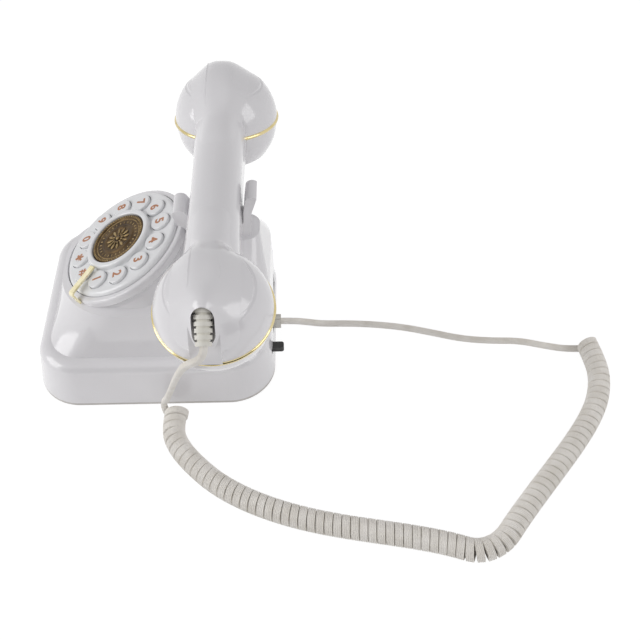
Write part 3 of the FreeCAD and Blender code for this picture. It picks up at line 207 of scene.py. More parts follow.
class TelephoneLooks(bpy.types.PropertyGroup):
    """Sizes, colours and lights that a user would change."""

    body_colour: bpy.props.FloatVectorProperty(
        name="Body colour", description="Lighter tone of the white plastic",
        default=linear("#ECEBED"), size=4, subtype="COLOR")
    dial_colour: bpy.props.FloatVectorProperty(
        name="Dial colour", description="Lighter tone of the dial and its keys",
        default=linear("#F2F3F4"), size=4, subtype="COLOR")
    gold_colour: bpy.props.FloatVectorProperty(
        name="Gold colour", description="Lighter tone of the gold rings",
        default=linear("#DACB9E"), size=4, subtype="COLOR")
    ink_colour: bpy.props.FloatVectorProperty(
        name="Ink colour", description="Lighter tone of the figures on the keys",
        default=linear("#BE8663"), size=4, subtype="COLOR")
    cord_colour: bpy.props.FloatVectorProperty(
        name="Cord colour", description="Lighter tone of the curly cord",
        default=linear("#F5F2EC"), size=4, subtype="COLOR")
    numeral_height: bpy.props.FloatProperty(
        name="Numeral height", description="Height of the figures printed on the keys",
        default=6.2 * MM, unit="LENGTH")
    numeral_thickness: bpy.props.FloatProperty(
        name="Ink thickness", description="How far the printed figures stand out",
        default=0.06 * MM, unit="LENGTH")
    ring_bead: bpy.props.FloatProperty(
        name="Ring bead", description="Thickness of the gold rings' rounded edge",
        default=2.3 * MM, unit="LENGTH")
    cord_width: bpy.props.FloatProperty(
        name="Cord width", description="Width of the flat ribbed cord",
        default=4.7 * MM, unit="LENGTH")
    cord_thickness: bpy.props.FloatProperty(
        name="Cord thickness", description="Thickness of the flat ribbed cord",
        default=2.7 * MM, unit="LENGTH")
    curl_radius: bpy.props.FloatProperty(
        name="Curl radius", description="Radius of the curls at the middle of the cord",
        default=5.4 * MM, unit="LENGTH")
    first_curl_radius: bpy.props.FloatProperty(
        name="First curl radius", description="Radius of the looser first curl",
        default=7.2 * MM, unit="LENGTH")
    curls: bpy.props.IntProperty(
        name="Curls", description="Whole turns of the curly cord",
        default=80, min=1, max=100)
    floor_size: bpy.props.FloatProperty(
        name="Floor size", description="Side of the studio floor",
        default=6.0, unit="LENGTH")
    key_light: bpy.props.FloatProperty(
        name="Key light", description="Power of the lamp left of the camera",
        default=5.6, unit="POWER")
    fill_light: bpy.props.FloatProperty(
        name="Fill light", description="Power of the lamp right of the camera",
        default=3.2, unit="POWER")
    surround: bpy.props.FloatProperty(
        name="Surround light", description="Strength of the even light from all sides",
        default=0.43)


def looks():
    return bpy.context.scene.telephone_looks


# Finishes


def add_node(tree, kind, inputs=None, links=None, **settings):
    """Add a node with its settings, its input values and its links from other nodes' outputs."""
    made = tree.nodes.new(kind)
    for name, value in settings.items():
        setattr(made, name, value)
    for name, value in (inputs or {}).items():
        made.inputs[name].default_value = value
    for name, (source, output) in (links or {}).items():
        tree.links.new(source.outputs[output], made.inputs[name])
    return made


def surface(name, **constants):
    """A material with a Principled shader; gives the material, its tree and the shader."""
    material = bpy.data.materials.new(name)
    material.use_nodes = True
    tree = material.node_tree
    tree.nodes.clear()
    shader = add_node(tree, "ShaderNodeBsdfPrincipled", inputs=constants)
    add_node(tree, "ShaderNodeOutputMaterial", links={"Surface": (shader, "BSDF")})
    return material, tree, shader


def mottle(tree, shader, dark, light, size, detail=3.0):
    """A soft drift between two colours with patches of a size in millimetres."""
    place = add_node(tree, "ShaderNodeTexCoord")
    noise = add_node(tree, "ShaderNodeTexNoise", {"Scale": per_mm(size), "Detail": detail},
                     {"Vector": (place, "Object")})
    ramp = add_node(tree, "ShaderNodeValToRGB", links={"Fac": (noise, "Fac")})
    for stop, position, colour in zip(ramp.color_ramp.elements, COLOUR_SPAN, (dark, light)):
        stop.position = position
        stop.color = colour
    tree.links.new(ramp.outputs["Color"], shader.inputs["Base Color"])


def uneven_gloss(tree, shader, low, high, size):
    """Roughness that wanders between two values, as handling and moulding leave it."""
    place = add_node(tree, "ShaderNodeTexCoord")
    noise = add_node(tree, "ShaderNodeTexNoise", {"Scale": per_mm(size), "Detail": 0.0},
                     {"Vector": (place, "Object")})
    limits = {"From Min": GLOSS_SPAN[0], "From Max": GLOSS_SPAN[1], "To Min": low, "To Max": high}
    spread = add_node(tree, "ShaderNodeMapRange", limits, {"Value": (noise, "Fac")})
    tree.links.new(spread.outputs["Result"], shader.inputs["Roughness"])


def grain(tree, shader, size, depth, strength):
    """Fine bumps of a size and a depth in millimetres, coarser than the real ones so that they show."""
    place = add_node(tree, "ShaderNodeTexCoord")
    noise = add_node(tree, "ShaderNodeTexNoise", {"Scale": per_mm(size), "Detail": 2.0},
                     {"Vector": (place, "Object")})
    bump = add_node(tree, "ShaderNodeBump", {"Strength": strength, "Distance": depth * MM},
                    {"Height": (noise, "Fac")})
    tree.links.new(bump.outputs["Normal"], shader.inputs["Normal"])


def white_abs():
    """Glossy injection-moulded ABS: a neutral white with wide soft highlights."""
    constants = {"IOR": 1.53, "Coat Weight": 0.25, "Coat Roughness": 0.06}
    material, tree, shader = surface("ABS, glossy moulded, neutral white", **constants)
    mottle(tree, shader, linear("#E9E8EA"), looks().body_colour, 60, 0.0)
    uneven_gloss(tree, shader, 0.13, 0.16, 40)
    return material


def dial_abs():
    """The same plastic in a colder, cleaner white, for the dial and its keys."""
    constants = {"IOR": 1.53, "Coat Weight": 0.3, "Coat Roughness": 0.05}
    material, tree, shader = surface("ABS, glossy moulded, cold white", **constants)
    mottle(tree, shader, linear("#F0F1F2"), looks().dial_colour, 30, 0.0)
    uneven_gloss(tree, shader, 0.14, 0.17, 30)
    return material


def plate_abs():
    """Matt moulded ABS with a spark-eroded grain, for the plate underneath."""
    material, tree, shader = surface("ABS, spark-eroded, off-white", IOR=1.53)
    mottle(tree, shader, linear("#C9C6C2"), linear("#D2CFCB"), 20)
    uneven_gloss(tree, shader, 0.5, 0.62, 12)
    grain(tree, shader, 0.6, 0.05, 0.4)
    return material


def gold_plate():
    """Bright gold plating on a spun ring: a pale mirror that is faintly uneven."""
    material, tree, shader = surface("Brass, gold plated and polished", Metallic=1.0)
    mottle(tree, shader, linear("#CBBA86"), looks().gold_colour, 8)
    uneven_gloss(tree, shader, 0.08, 0.12, 6)
    grain(tree, shader, 0.4, 0.01, 0.15)
    return material


def pale_brass():
    """Rolled and lacquered brass strip: pale, with a soft shine."""
    constants = {"Metallic": 1.0, "Coat Weight": 0.3}
    material, tree, shader = surface("Brass, rolled and lacquered, pale", **constants)
    mottle(tree, shader, linear("#E6DBAE"), linear("#F0E8C8"), 5)
    uneven_gloss(tree, shader, 0.2, 0.3, 4)
    return material


def antique_bronze():
    """Cast and antiqued bronze: dark brown, as it stays in the hollows."""
    material, tree, shader = surface("Bronze, cast and antiqued", Metallic=0.85)
    mottle(tree, shader, linear("#3F301F"), linear("#5E4B31"), 5.0, 2.0)
    uneven_gloss(tree, shader, 0.32, 0.45, 4)
    grain(tree, shader, 0.8, 0.05, 0.3)
    return material


def rubbed_bronze():
    """The raised ornament of the same casting, worn brighter by touch."""
    material, tree, shader = surface("Bronze, cast and rubbed", Metallic=0.9)
    mottle(tree, shader, linear("#7A6544"), linear("#A08A62"), 4.0, 2.0)
    uneven_gloss(tree, shader, 0.26, 0.4, 2)
    return material


def black_abs():
    """Black moulded plastic, slightly dusty."""
    material, tree, shader = surface("ABS, moulded, black", IOR=1.53)
    mottle(tree, shader, linear("#151414"), linear("#201F1F"), 6)
    uneven_gloss(tree, shader, 0.35, 0.5, 5)
    return material


def black_rubber():
    """Moulded rubber: dark, dull and a little grey on its skin."""
    material, tree, shader = surface("Rubber, moulded, black", IOR=1.52)
    mottle(tree, shader, linear("#1B1B1B"), linear("#2A2A29"), 5)
    uneven_gloss(tree, shader, 0.65, 0.8, 4)
    grain(tree, shader, 0.7, 0.05, 0.3)
    return material


def silicone():
    """Moulded silicone sheet: a pale and dull grey."""
    material, tree, shader = surface("Silicone, moulded, grey", IOR=1.41)
    mottle(tree, shader, linear("#BDBDBA"), linear("#CBCAC6"), 10)
    uneven_gloss(tree, shader, 0.5, 0.6, 8)
    return material


def ivory_vinyl():
    """Soft moulded vinyl, ivory, with a satin skin."""
    material, tree, shader = surface("Vinyl, moulded, ivory", IOR=1.5)
    mottle(tree, shader, linear("#E2E0D6"), linear("#EDEBE3"), 6)
    uneven_gloss(tree, shader, 0.42, 0.55, 4)
    grain(tree, shader, 0.8, 0.03, 0.2)
    return material


def cord_vinyl():
    """Extruded vinyl cord: cream, yellowed unevenly with age, satin along its ribs."""
    material, tree, shader = surface("Vinyl, extruded cord, cream", IOR=1.5)
    mottle(tree, shader, linear("#EBE7DF"), looks().cord_colour, 9)
    uneven_gloss(tree, shader, 0.45, 0.55, 6)
    grain(tree, shader, 0.8, 0.35, 0.9)
    return material


def clear_plug():
    """Moulded polycarbonate plug: pale, cloudy and glossy."""
    material, tree, shader = surface("Polycarbonate, moulded, cloudy", IOR=1.58)
    mottle(tree, shader, linear("#D4D2C8"), linear("#E0DED5"), 4)
    uneven_gloss(tree, shader, 0.15, 0.25, 3)
    return material


def zinc_steel():
    """Zinc-plated steel with a fine spangle."""
    material, tree, shader = surface("Steel, zinc plated", Metallic=1.0)
    mottle(tree, shader, linear("#8E8F90"), linear("#B4B5B6"), 3)
    uneven_gloss(tree, shader, 0.3, 0.42, 2)
    return material


def solder_mask():
    """Glass-fibre circuit board under solder mask: an even, glossy green."""
    material, tree, shader = surface("Glass fibre board, green mask", IOR=1.5)
    mottle(tree, shader, linear("#1E5A33"), linear("#2A6B3E"), 4)
    uneven_gloss(tree, shader, 0.3, 0.4, 5)
    return material


def copper_ink():
    """Copper ink, pad printed: warm brown with a slight metal shine."""
    material, tree, shader = surface("Copper ink, pad printed", Metallic=0.35)
    mottle(tree, shader, linear("#A8704F"), looks().ink_colour, 1.5)
    uneven_gloss(tree, shader, 0.4, 0.5, 2)
    return material


SLOT_FINISHES = {
    "white_plastic": white_abs, "white_dial": dial_abs, "plate_plastic": plate_abs, "gold_trim": gold_plate,
    "pale_brass": pale_brass, "bronze": antique_bronze, "black_plastic": black_abs, "rubber": black_rubber,
    "silicone": silicone, "ivory_vinyl": ivory_vinyl, "cord_vinyl": cord_vinyl, "clear_plastic": clear_plug,
    "steel": zinc_steel, "circuit_board": solder_mask,
}


class TELEPHONE_OT_finishes(bpy.types.Operator):
    """Give every CAD node the finish of its material slot"""

    bl_idname = "telephone.finishes"
    bl_label = "Finishes"

    def execute(self, context):
        finishes = {slot: make() for slot, make in SLOT_FINISHES.items()}
        for entry in frame["record"]["subparts"]:
            node = frame["nodes"][entry["node"]]
            node.data.materials.clear()
            node.data.materials.append(finishes[entry["material_slot"]])
        return {"FINISHED"}


# Key figures


def dial_matrix():
    return Matrix.Translation(DIAL_CENTRE) @ Matrix.Rotation(DIAL_TILT, 4, "X")


def node_centre(name):
    low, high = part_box(name)
    return (Vector(low) + Vector(high)) / 2


def show(name, data, body, material):
    """Make an object that rides on a body, in a material that belongs to a slot."""
    made = bpy.data.objects.new(name, data)
    bpy.context.scene.collection.objects.link(made)
    data.materials.append(material)
    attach(made, body)


def figure_mesh(name, text, height):
    """A figure as a thin mesh, centred on its own outline and as tall as asked."""
    curve = bpy.data.curves.new(name, "FONT")
    curve.body = text
    curve.size = height
    curve.extrude = looks().numeral_thickness / 2
    curve.offset = BOLDNESS * height
    drawn = bpy.data.objects.new(name, curve)
    mesh = bpy.data.meshes.new_from_object(drawn)
    bpy.data.objects.remove(drawn)
    bpy.data.curves.remove(curve)
    across = [vertex.co.x for vertex in mesh.vertices]
    up = [vertex.co.y for vertex in mesh.vertices]
    grow = height / max(max(up) - min(up), max(across) - min(across))
    middle = Vector(((max(across) + min(across)) / 2, (max(up) + min(up)) / 2, 0))
    mesh.transform(Matrix.Diagonal((grow, grow, 1, 1)) @ Matrix.Translation(-middle))
    return mesh


class TELEPHONE_OT_numerals(bpy.types.Operator):
    """Print a figure on each key, upright for whoever sits in front"""

    bl_idname = "telephone.numerals"
    bl_label = "Key numerals"

    def execute(self, context):
        ink = copper_ink()
        dial = dial_matrix()
        for name in KEY_NAMES:
            text = FIGURES.get(name, name)
            mesh = figure_mesh("numeral_" + name, text, looks().numeral_height)
            if name == "9":
                mesh.transform(Matrix.Rotation(math.pi, 4, "Z"))
            centre = dial.inverted() @ node_centre("key_" + name)
            angle = math.atan2(centre.y, centre.x)
            place = Vector((math.cos(angle), math.sin(angle), 0)) * KEY_CIRCLE
            place.z = KEY_TOP + looks().numeral_thickness / 2
            mesh.transform(dial @ Matrix.Translation(place))
            show("numeral_" + name, mesh, "key_" + name, ink)
        return {"FINISHED"}


# Handset blends


def sight_lines(side):
    """Rows of lines that look down on one half of the handset's back, over the grip and round the dome."""
    rows = []
    for step in range(GRIP_ROWS + 1):
        along = SKIN_START_X + (DOME_X - SKIN_START_X) * step / GRIP_ROWS
        widened = min(max((along - WIDENING_X) / WIDENING_LENGTH, 0), 1)
        half_width = GRIP_HALF_WIDTH + (DOME_HALF_WIDTH - GRIP_HALF_WIDTH) * widened
        rows.append((side * along, Vector((0, 0, 1)), half_width))
    for step in range(1, DOME_ROWS + 1):
        angle = DOME_SWEEP * step / DOME_ROWS
        look = Vector((side * math.sin(angle), 0, math.cos(angle)))
        rows.append((side * DOME_X, look, DOME_HALF_WIDTH))
    lines = []
    for x, look, half_width in rows:
        lines.append([])
        for column in range(SKIN_COLUMNS):
            across = half_width * (2 * column / (SKIN_COLUMNS - 1) - 1)
            lines[-1].append((Vector((x, GRIP_Y + across, DOME_Z)) * MM, look))
    return lines


def relief_place(point):
    """How far a point is along the strain relief, from its start, and to its side."""
    off = point - Vector(RELIEF_START) * MM
    return off.dot(Vector(RELIEF_HEADING)), off.y


def past_slot(along):
    """How far a place along the strain relief is past the hole's straight sides, with its sign."""
    before = along - (HOOD_REACH + SLOT_RADIUS)
    beyond = along - (SLOT_REACH - SLOT_RADIUS)
    return min(before, 0) + max(beyond, 0)


def hole_distance(point):
    """How far a point is from the middle line of the hole that the hood leaves for the strain relief."""
    along, across = relief_place(point)
    return math.hypot(across, past_slot(along))


def to_rim(point):
    """A point in the hole moved out to the hole's rim."""
    along, across = relief_place(point)
    past = past_slot(along)
    if past == 0:
        return point + Vector((0, math.copysign(SLOT_RADIUS, across) - across, 0))
    grow = SLOT_RADIUS / math.hypot(across, past) - 1
    return point + Vector((0, across * grow, 0)) + Vector(RELIEF_HEADING) * past * grow


def edge_ramp(row, column, rows):
    """Zero on a skin's border, one when well inside it, and smooth between."""
    near = min(row, column, rows - 1 - row, SKIN_COLUMNS - 1 - column) / EDGE_CELLS
    near = min(near, 1)
    return near * near * (3 - 2 * near)


def skin_floor(lines, seen, side):
    """The least heights of a skin: over what is seen, but under it at the border and beside the slot."""
    floor = []
    for row, line in enumerate(lines):
        floor.append([])
        for column, (start, look) in enumerate(line):
            lift = SKIN_RISE * edge_ramp(row, column, len(lines)) - SKIN_SINK
            spot = start + look * seen[row][column]
            if side == CORD_SIDE and relief_place(spot)[0] > HOOD_REACH + SLOT_RADIUS:
                gap = min(max(hole_distance(spot) - SLOT_RADIUS, 0), SLOT_EDGE)
                lift = min(lift, gap / 2 - SLOT_SINK)
            floor[-1].append(seen[row][column] + lift)
    return floor


def stretched_skin(lines, floor):
    """Heights of a skin that bridges its floor's hollows, rests on what stands out, and is softened last."""
    heights = [list(row) for row in floor]
    for turn in range(STRETCH_TURNS + SOFTEN_TURNS):
        places = [[start + look * height for (start, look), height in zip(line, row)]
                  for line, row in zip(lines, heights)]
        for row in range(1, len(lines) - 1):
            for column in range(1, SKIN_COLUMNS - 1):
                around = (places[row - 1][column] + places[row + 1][column]
                          + places[row][column - 1] + places[row][column + 1])
                start, look = lines[row][column]
                height = (around / 4 - start).dot(look)
                if turn < STRETCH_TURNS:
                    height = max(height, floor[row][column])
                heights[row][column] = height
    return heights


class TELEPHONE_OT_handset_blends(bpy.types.Operator):
    """Run the handset's grip and its raised backs into the domes with soft hollows, as the moulding does"""

    bl_idname = "telephone.handset_blends"
    bl_label = "Handset blends"

    def execute(self, context):
        shell = self.faces_of("handset_shell")
        relief = self.faces_of("strain_relief")
        for label, side in (("ear", -CORD_SIDE), ("mouth", CORD_SIDE)):
            lines = sight_lines(side)
            floor = skin_floor(lines, self.seen_heights(shell, relief, lines), side)
            self.add_skin(label + "_blend", lines, stretched_skin(lines, floor), side)
        return {"FINISHED"}

    def faces_of(self, name):
        node = frame["nodes"][name]
        corners = [node.matrix_world @ vertex.co for vertex in node.data.vertices]
        return BVHTree.FromPolygons(corners, [tuple(face.vertices) for face in node.data.polygons])

    def seen_heights(self, shell, relief, lines):
        """Where each line meets the shell, or the root of the strain relief, which the hood covers."""
        seen = []
        for line in lines:
            seen.append([])
            for column, (start, look) in enumerate(line):
                far = start + look * SIGHT_HEIGHT
                hit = shell.ray_cast(far, -look)[0]
                # A line that runs out through the slot takes the height of the row before it
                height = seen[-2][column] if hit is None else (hit - start).dot(look)
                root = relief.ray_cast(far, -look)[0]
                if root is not None and relief_place(root)[0] < HOOD_REACH + SLOT_RADIUS / 2:
                    height = max(height, (root - start).dot(look) + HOOD_LIFT)
                seen[-1].append(height)
        return seen

    def add_skin(self, name, lines, heights, side):
        """A mesh of the skin's places, left open where the strain relief comes through."""
        places = []
        for line, row in zip(lines, heights):
            places += [start + look * height for (start, look), height in zip(line, row)]
        shut = [side == CORD_SIDE and hole_distance(place) < SLOT_RADIUS for place in places]
        faces = []
        for row in range(len(lines) - 1):
            for column in range(SKIN_COLUMNS - 1):
                first = row * SKIN_COLUMNS + column
                corners = (first, first + 1, first + 1 + SKIN_COLUMNS, first + SKIN_COLUMNS)
                if not all(shut[corner] for corner in corners):
                    faces.append(corners[::-1] if side > 0 else corners)
        places = [to_rim(place) if inside else place for place, inside in zip(places, shut)]
        mesh = bpy.data.meshes.new(name)
        mesh.from_pydata([tuple(place) for place in places], [], faces)
        form = bmesh.new()
        form.from_mesh(mesh)
        loose = [vertex for vertex in form.verts if not vertex.link_faces]
        bmesh.ops.delete(form, geom=loose, context="VERTS")
        form.to_mesh(mesh)
        form.free()
        mesh.shade_smooth()
        show(name, mesh, "handset", frame["nodes"]["handset_shell"].data.materials[0])


# Medallion ornament and gold beads


def add_bead(form, centre, radius, stretch, turn):
    """A flattened bead in a bmesh, stretched along one direction in the plane."""
    matrix = Matrix.Translation(centre) @ Matrix.Rotation(turn, 4, "Z") @ Matrix.Diagonal((*stretch, 1))
    bmesh.ops.create_uvsphere(form, u_segments=10, v_segments=6, radius=radius, matrix=matrix)


class TELEPHONE_OT_ornament(bpy.types.Operator):
    """Cast a generic ornament on the medallion: a rope edge, a band of beads and a rosette"""

    bl_idname = "telephone.ornament"
    bl_label = "Medallion ornament"

    # Each row: beads, circle, lift and bead radius in mm, stretch by axis, turn from the radius in degrees
    rows = (
        (60, 16.9, 3.0, 0.8, (1.2, 0.6, 0.5), 48),
        (110, 15.1, 2.3, 0.45, (1.0, 1.0, 0.7), 0),
        (28, 12.8, 2.25, 0.8, (1.3, 0.55, 0.5), 0),
        (80, 10.7, 2.3, 0.45, (1.0, 1.0, 0.7), 0),
        (12, 6.1, 2.6, 1.0, (2.2, 0.9, 0.4), 0),
        (12, 3.3, 2.9, 0.6, (1.8, 0.8, 0.45), 15),
        (1, 0.0, 3.0, 1.3, (1.0, 1.0, 0.5), 0),
    )

    def execute(self, context):
        form = bmesh.new()
        for count, circle, lift, radius, stretch, turn in self.rows:
            for number in range(count):
                angle = 2 * math.pi * number / count
                centre = Vector((circle * math.cos(angle), circle * math.sin(angle), lift)) * MM
                add_bead(form, centre, radius * MM, stretch, angle + math.radians(turn))
        mesh = bpy.data.meshes.new("medallion_ornament")
        form.transform(dial_matrix())
        form.to_mesh(mesh)
        form.free()
        mesh.shade_smooth()
        show("medallion_ornament", mesh, "base", rubbed_bronze())
        return {"FINISHED"}


def bead_ring(name, major, minor, matrix):
    """A round bead bent into a closed ring."""
    along = 96
    around = 14
    vertices = []
    faces = []
    for step in range(along):
        turn = matrix @ Matrix.Rotation(2 * math.pi * step / along, 4, "Z")
        for side in range(around):
            angle = 2 * math.pi * side / around
            vertices.append(turn @ Vector((major + minor * math.cos(angle), 0, minor * math.sin(angle))))
    for step in range(along):
        here = step * around
        ahead = (step + 1) % along * around
        for side in range(around):
            beside = (side + 1) % around
            faces.append((here + side, ahead + side, ahead + beside, here + beside))
    mesh = bpy.data.meshes.new(name)
    mesh.from_pydata([tuple(vertex) for vertex in vertices], [], faces)
    mesh.shade_smooth()
    return mesh


class TELEPHONE_OT_ring_beads(bpy.types.Operator):
    """Round the outside of the two gold rings, as rolled metal is"""

    bl_idname = "telephone.ring_beads"
    bl_label = "Ring beads"

    def execute(self, context):
        drop = Matrix.Translation((0, 0, -RING_HEIGHT / 2))
        for label, side in (("ear", -CORD_SIDE), ("mouth", CORD_SIDE)):
            place = Matrix.Translation(Vector((side * DOME_X, DOME_Y, DOME_Z)) * MM)
            tilt = Matrix.Rotation(side * DOME_TILT, 4, "Y")
            mesh = bead_ring(label + "_ring_bead", BEAD_CIRCLE, looks().ring_bead / 2, place @ tilt @ drop)
            gold = frame["nodes"][label + "_ring"].data.materials[0]
            show(label + "_ring_bead", mesh, "handset", gold)
        return {"FINISHED"}


# Cord


def spline_points(name, controls, resolution):
    """The points of a NURBS spline led by control points, as Blender draws it without a bevel."""
    curve = bpy.data.curves.new(name, "CURVE")
    curve.dimensions = "3D"
    spline = curve.splines.new("NURBS")
    spline.points.add(len(controls) - 1)
    for point, place in zip(spline.points, controls):
        point.co = (*place, 1)
    spline.order_u = 3
    spline.use_endpoint_u = True
    spline.resolution_u = resolution
    made = bpy.data.objects.new(name, curve)
    mesh = bpy.data.meshes.new_from_object(made)
    points = [vertex.co.copy() for vertex in mesh.vertices]
    bpy.data.meshes.remove(mesh)
    bpy.data.objects.remove(made)
    bpy.data.curves.remove(curve)
    return points


def curl_points(axis):
    """A helix along the axis points; the first turn is looser and the last quarter meets the table."""
    lengths = [0.0]
    for before, after in zip(axis, axis[1:]):
        lengths.append(lengths[-1] + (after - before).length)
    turns = looks().curls + LAST_TURN
    count = int(round(turns * CURL_POINTS))
    points = []
    widths = []
    spot = 0
    for number in range(count + 1):
        share = number / count
        goal = lengths[-1] * share
        while spot < len(axis) - 2 and lengths[spot + 1] < goal:
            spot += 1
        part = (goal - lengths[spot]) / (lengths[spot + 1] - lengths[spot])
        centre = axis[spot].lerp(axis[spot + 1], part)
        before = axis[max(spot - 1, 0)]
        after = axis[min(spot + 2, len(axis) - 1)]
        forward = (after - before).normalized()
        left = Vector((-forward.y, forward.x, 0))
        looser = max(0, 1 - share * turns)
        radius = looks().curl_radius + (looks().first_curl_radius - looks().curl_radius) * looser
        angle = 2 * math.pi * turns * share
        lift = radius + looks().cord_thickness / 2 + CURL_GAP
        points.append(Vector((centre.x, centre.y, lift)) - left * radius * math.cos(angle)
                      - Vector((0, 0, radius * math.sin(angle))))
        widths.append(forward)
    return points, widths


def carried(points, first_width):
    """Width directions along a lead, carried from one end without twisting."""
    widths = [first_width]
    for before, after in zip(points, points[1:]):
        along = (after - before).normalized()
        width = widths[-1] - along * widths[-1].dot(along)
        widths.append(width.normalized())
    return widths


def ribbon_section():
    """Shares of the half width and half thickness round the flat cord: ribs on each face, round edges."""
    first = RIB_STEP * (1 - RIBS)
    face = [(first + RIB_STEP * step, RIB_HOLLOW if step % 2 else 1.0) for step in range(2 * RIBS - 1)]
    upper = face + list(CORD_EDGE)
    lower = [(-across, -up) for across, up in upper]
    return upper + lower


def ribbon_mesh(name, points, widths, shares):
    """A flat ribbed cord along points; a share below one makes it narrower and rounder."""
    section = ribbon_section()
    around = len(section)
    half_width = looks().cord_width / 2
    half_thick = looks().cord_thickness / 2
    vertices = []
    faces = []
    for number, point in enumerate(points):
        before = points[max(number - 1, 0)]
        after = points[min(number + 1, len(points) - 1)]
        along = (after - before).normalized()
        width = (widths[number] - along * widths[number].dot(along)).normalized()
        thick = along.cross(width)
        reach = half_width * shares[number]
        rise = half_thick * (1 + LEAD_ROUNDING * (1 - shares[number]))
        for across, up in section:
            vertices.append(point + width * (reach * across) + thick * (rise * up))
    for number in range(len(points) - 1):
        for step in range(around):
            a = number * around + step
            b = number * around + (step + 1) % around
            faces.append((a, b, b + around, a + around))
    last = (len(points) - 1) * around
    faces.append(tuple(range(around - 1, -1, -1)))
    faces.append(tuple(last + step for step in range(around)))
    mesh = bpy.data.meshes.new(name)
    mesh.from_pydata([tuple(vertex) for vertex in vertices], [], faces)
    return mesh


def softened(values, turns):
    """Values averaged with their neighbours, so many times over."""
    for _ in range(turns):
        groups = [values[max(spot - 1, 0):spot + 2] for spot in range(len(values))]
        values = [sum(group) / len(group) for group in groups]
    return values


class TELEPHONE_OT_cord(bpy.types.Operator):
    """Lay the handset's curly cord on the table, from the strain relief to the plug"""

    bl_idname = "telephone.cord"
    bl_label = "Curly cord"

    def execute(self, context):
        tip = Vector(RELIEF_TIP) * MM
        axis = spline_points("coil_axis", [Vector((x, y, 0)) * MM for x, y in COIL_LINE], AXIS_POINTS)
        curls, curl_widths = curl_points(axis)
        upper = self.upper_lead(tip, curls)
        lower = self.lower_lead(curls)
        upper_widths = carried(list(reversed(upper)), curl_widths[0])[::-1]
        lower_widths = carried(lower, curl_widths[-1])
        points = upper[:-1] + curls + lower[1:]
        widths = upper_widths[:-1] + curl_widths + lower_widths[1:]
        shares = [LEAD_SHARE] * (len(upper) - 1) + [1.0] * len(curls) + [LEAD_SHARE] * (len(lower) - 1)
        mesh = ribbon_mesh("curly_cord", points, widths, softened(shares, SHARE_TURNS))
        mesh.materials.append(frame["nodes"]["cord_coil"].data.materials[0])
        cord = bpy.data.objects.new("curly_cord", mesh)
        context.scene.collection.objects.link(cord)
        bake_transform(cord)
        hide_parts("cord_coil", "cord_base_lead", "cord_handset_lead")
        return {"FINISHED"}

    def upper_lead(self, tip, curls):
        """The lead from the strain relief down to the first curl."""
        heading = (curls[1] - curls[0]).normalized()
        controls = [tip, tip + Vector(RELIEF_HEADING) * RELIEF_RUN]
        controls += [Vector(place) * MM for place in HANDSET_LEAD]
        controls += [curls[0] - heading * APPROACH, curls[0]]
        return spline_points("handset_lead", controls, UPPER_POINTS)

    def lower_lead(self, curls):
        """The lead from the last curl along the table and up into the plug."""
        heading = curls[-1] - curls[-2]
        heading.z = 0
        heading.normalize()
        plug = Vector(PLUG_END) * MM
        controls = [curls[-1], curls[-1] + heading * COIL_RUN]
        controls += [Vector((x, y, LEAD_HEIGHT)) * MM for x, y in BASE_LEAD]
        controls += [Vector(JACK_RISE) * MM, plug + Vector((0, PLUG_RUN, 0)), plug]
        return spline_points("base_lead", controls, LOWER_POINTS)


# Stage


def white_to_eye(tree, kind, strength):
    """A share for rays that come from the camera, a gloss or a glass, and the plain white that they see."""
    path = add_node(tree, "ShaderNodeLightPath")
    seen = add_node(tree, "ShaderNodeMath", links={0: (path, "Is Camera Ray"), 1: (path, "Is Glossy Ray")},
                    operation="MAXIMUM")
    seen = add_node(tree, "ShaderNodeMath", links={0: (seen, "Value"), 1: (path, "Is Transmission Ray")},
                    operation="MAXIMUM")
    white = add_node(tree, kind, {"Color": linear("#FFFFFF"), "Strength": strength})
    return seen, white


def lamp(name, place, size, power):
    """A square area lamp that looks at the telephone."""
    data = bpy.data.lights.new(name, "AREA")
    data.shape = "SQUARE"
    data.size = size
    data.energy = power
    made = bpy.data.objects.new(name, data)
    bpy.context.scene.collection.objects.link(made)
    made.location = place
    made.rotation_euler = (Vector(LAMP_AIM) - Vector(place)).to_track_quat("-Z", "Y").to_euler()


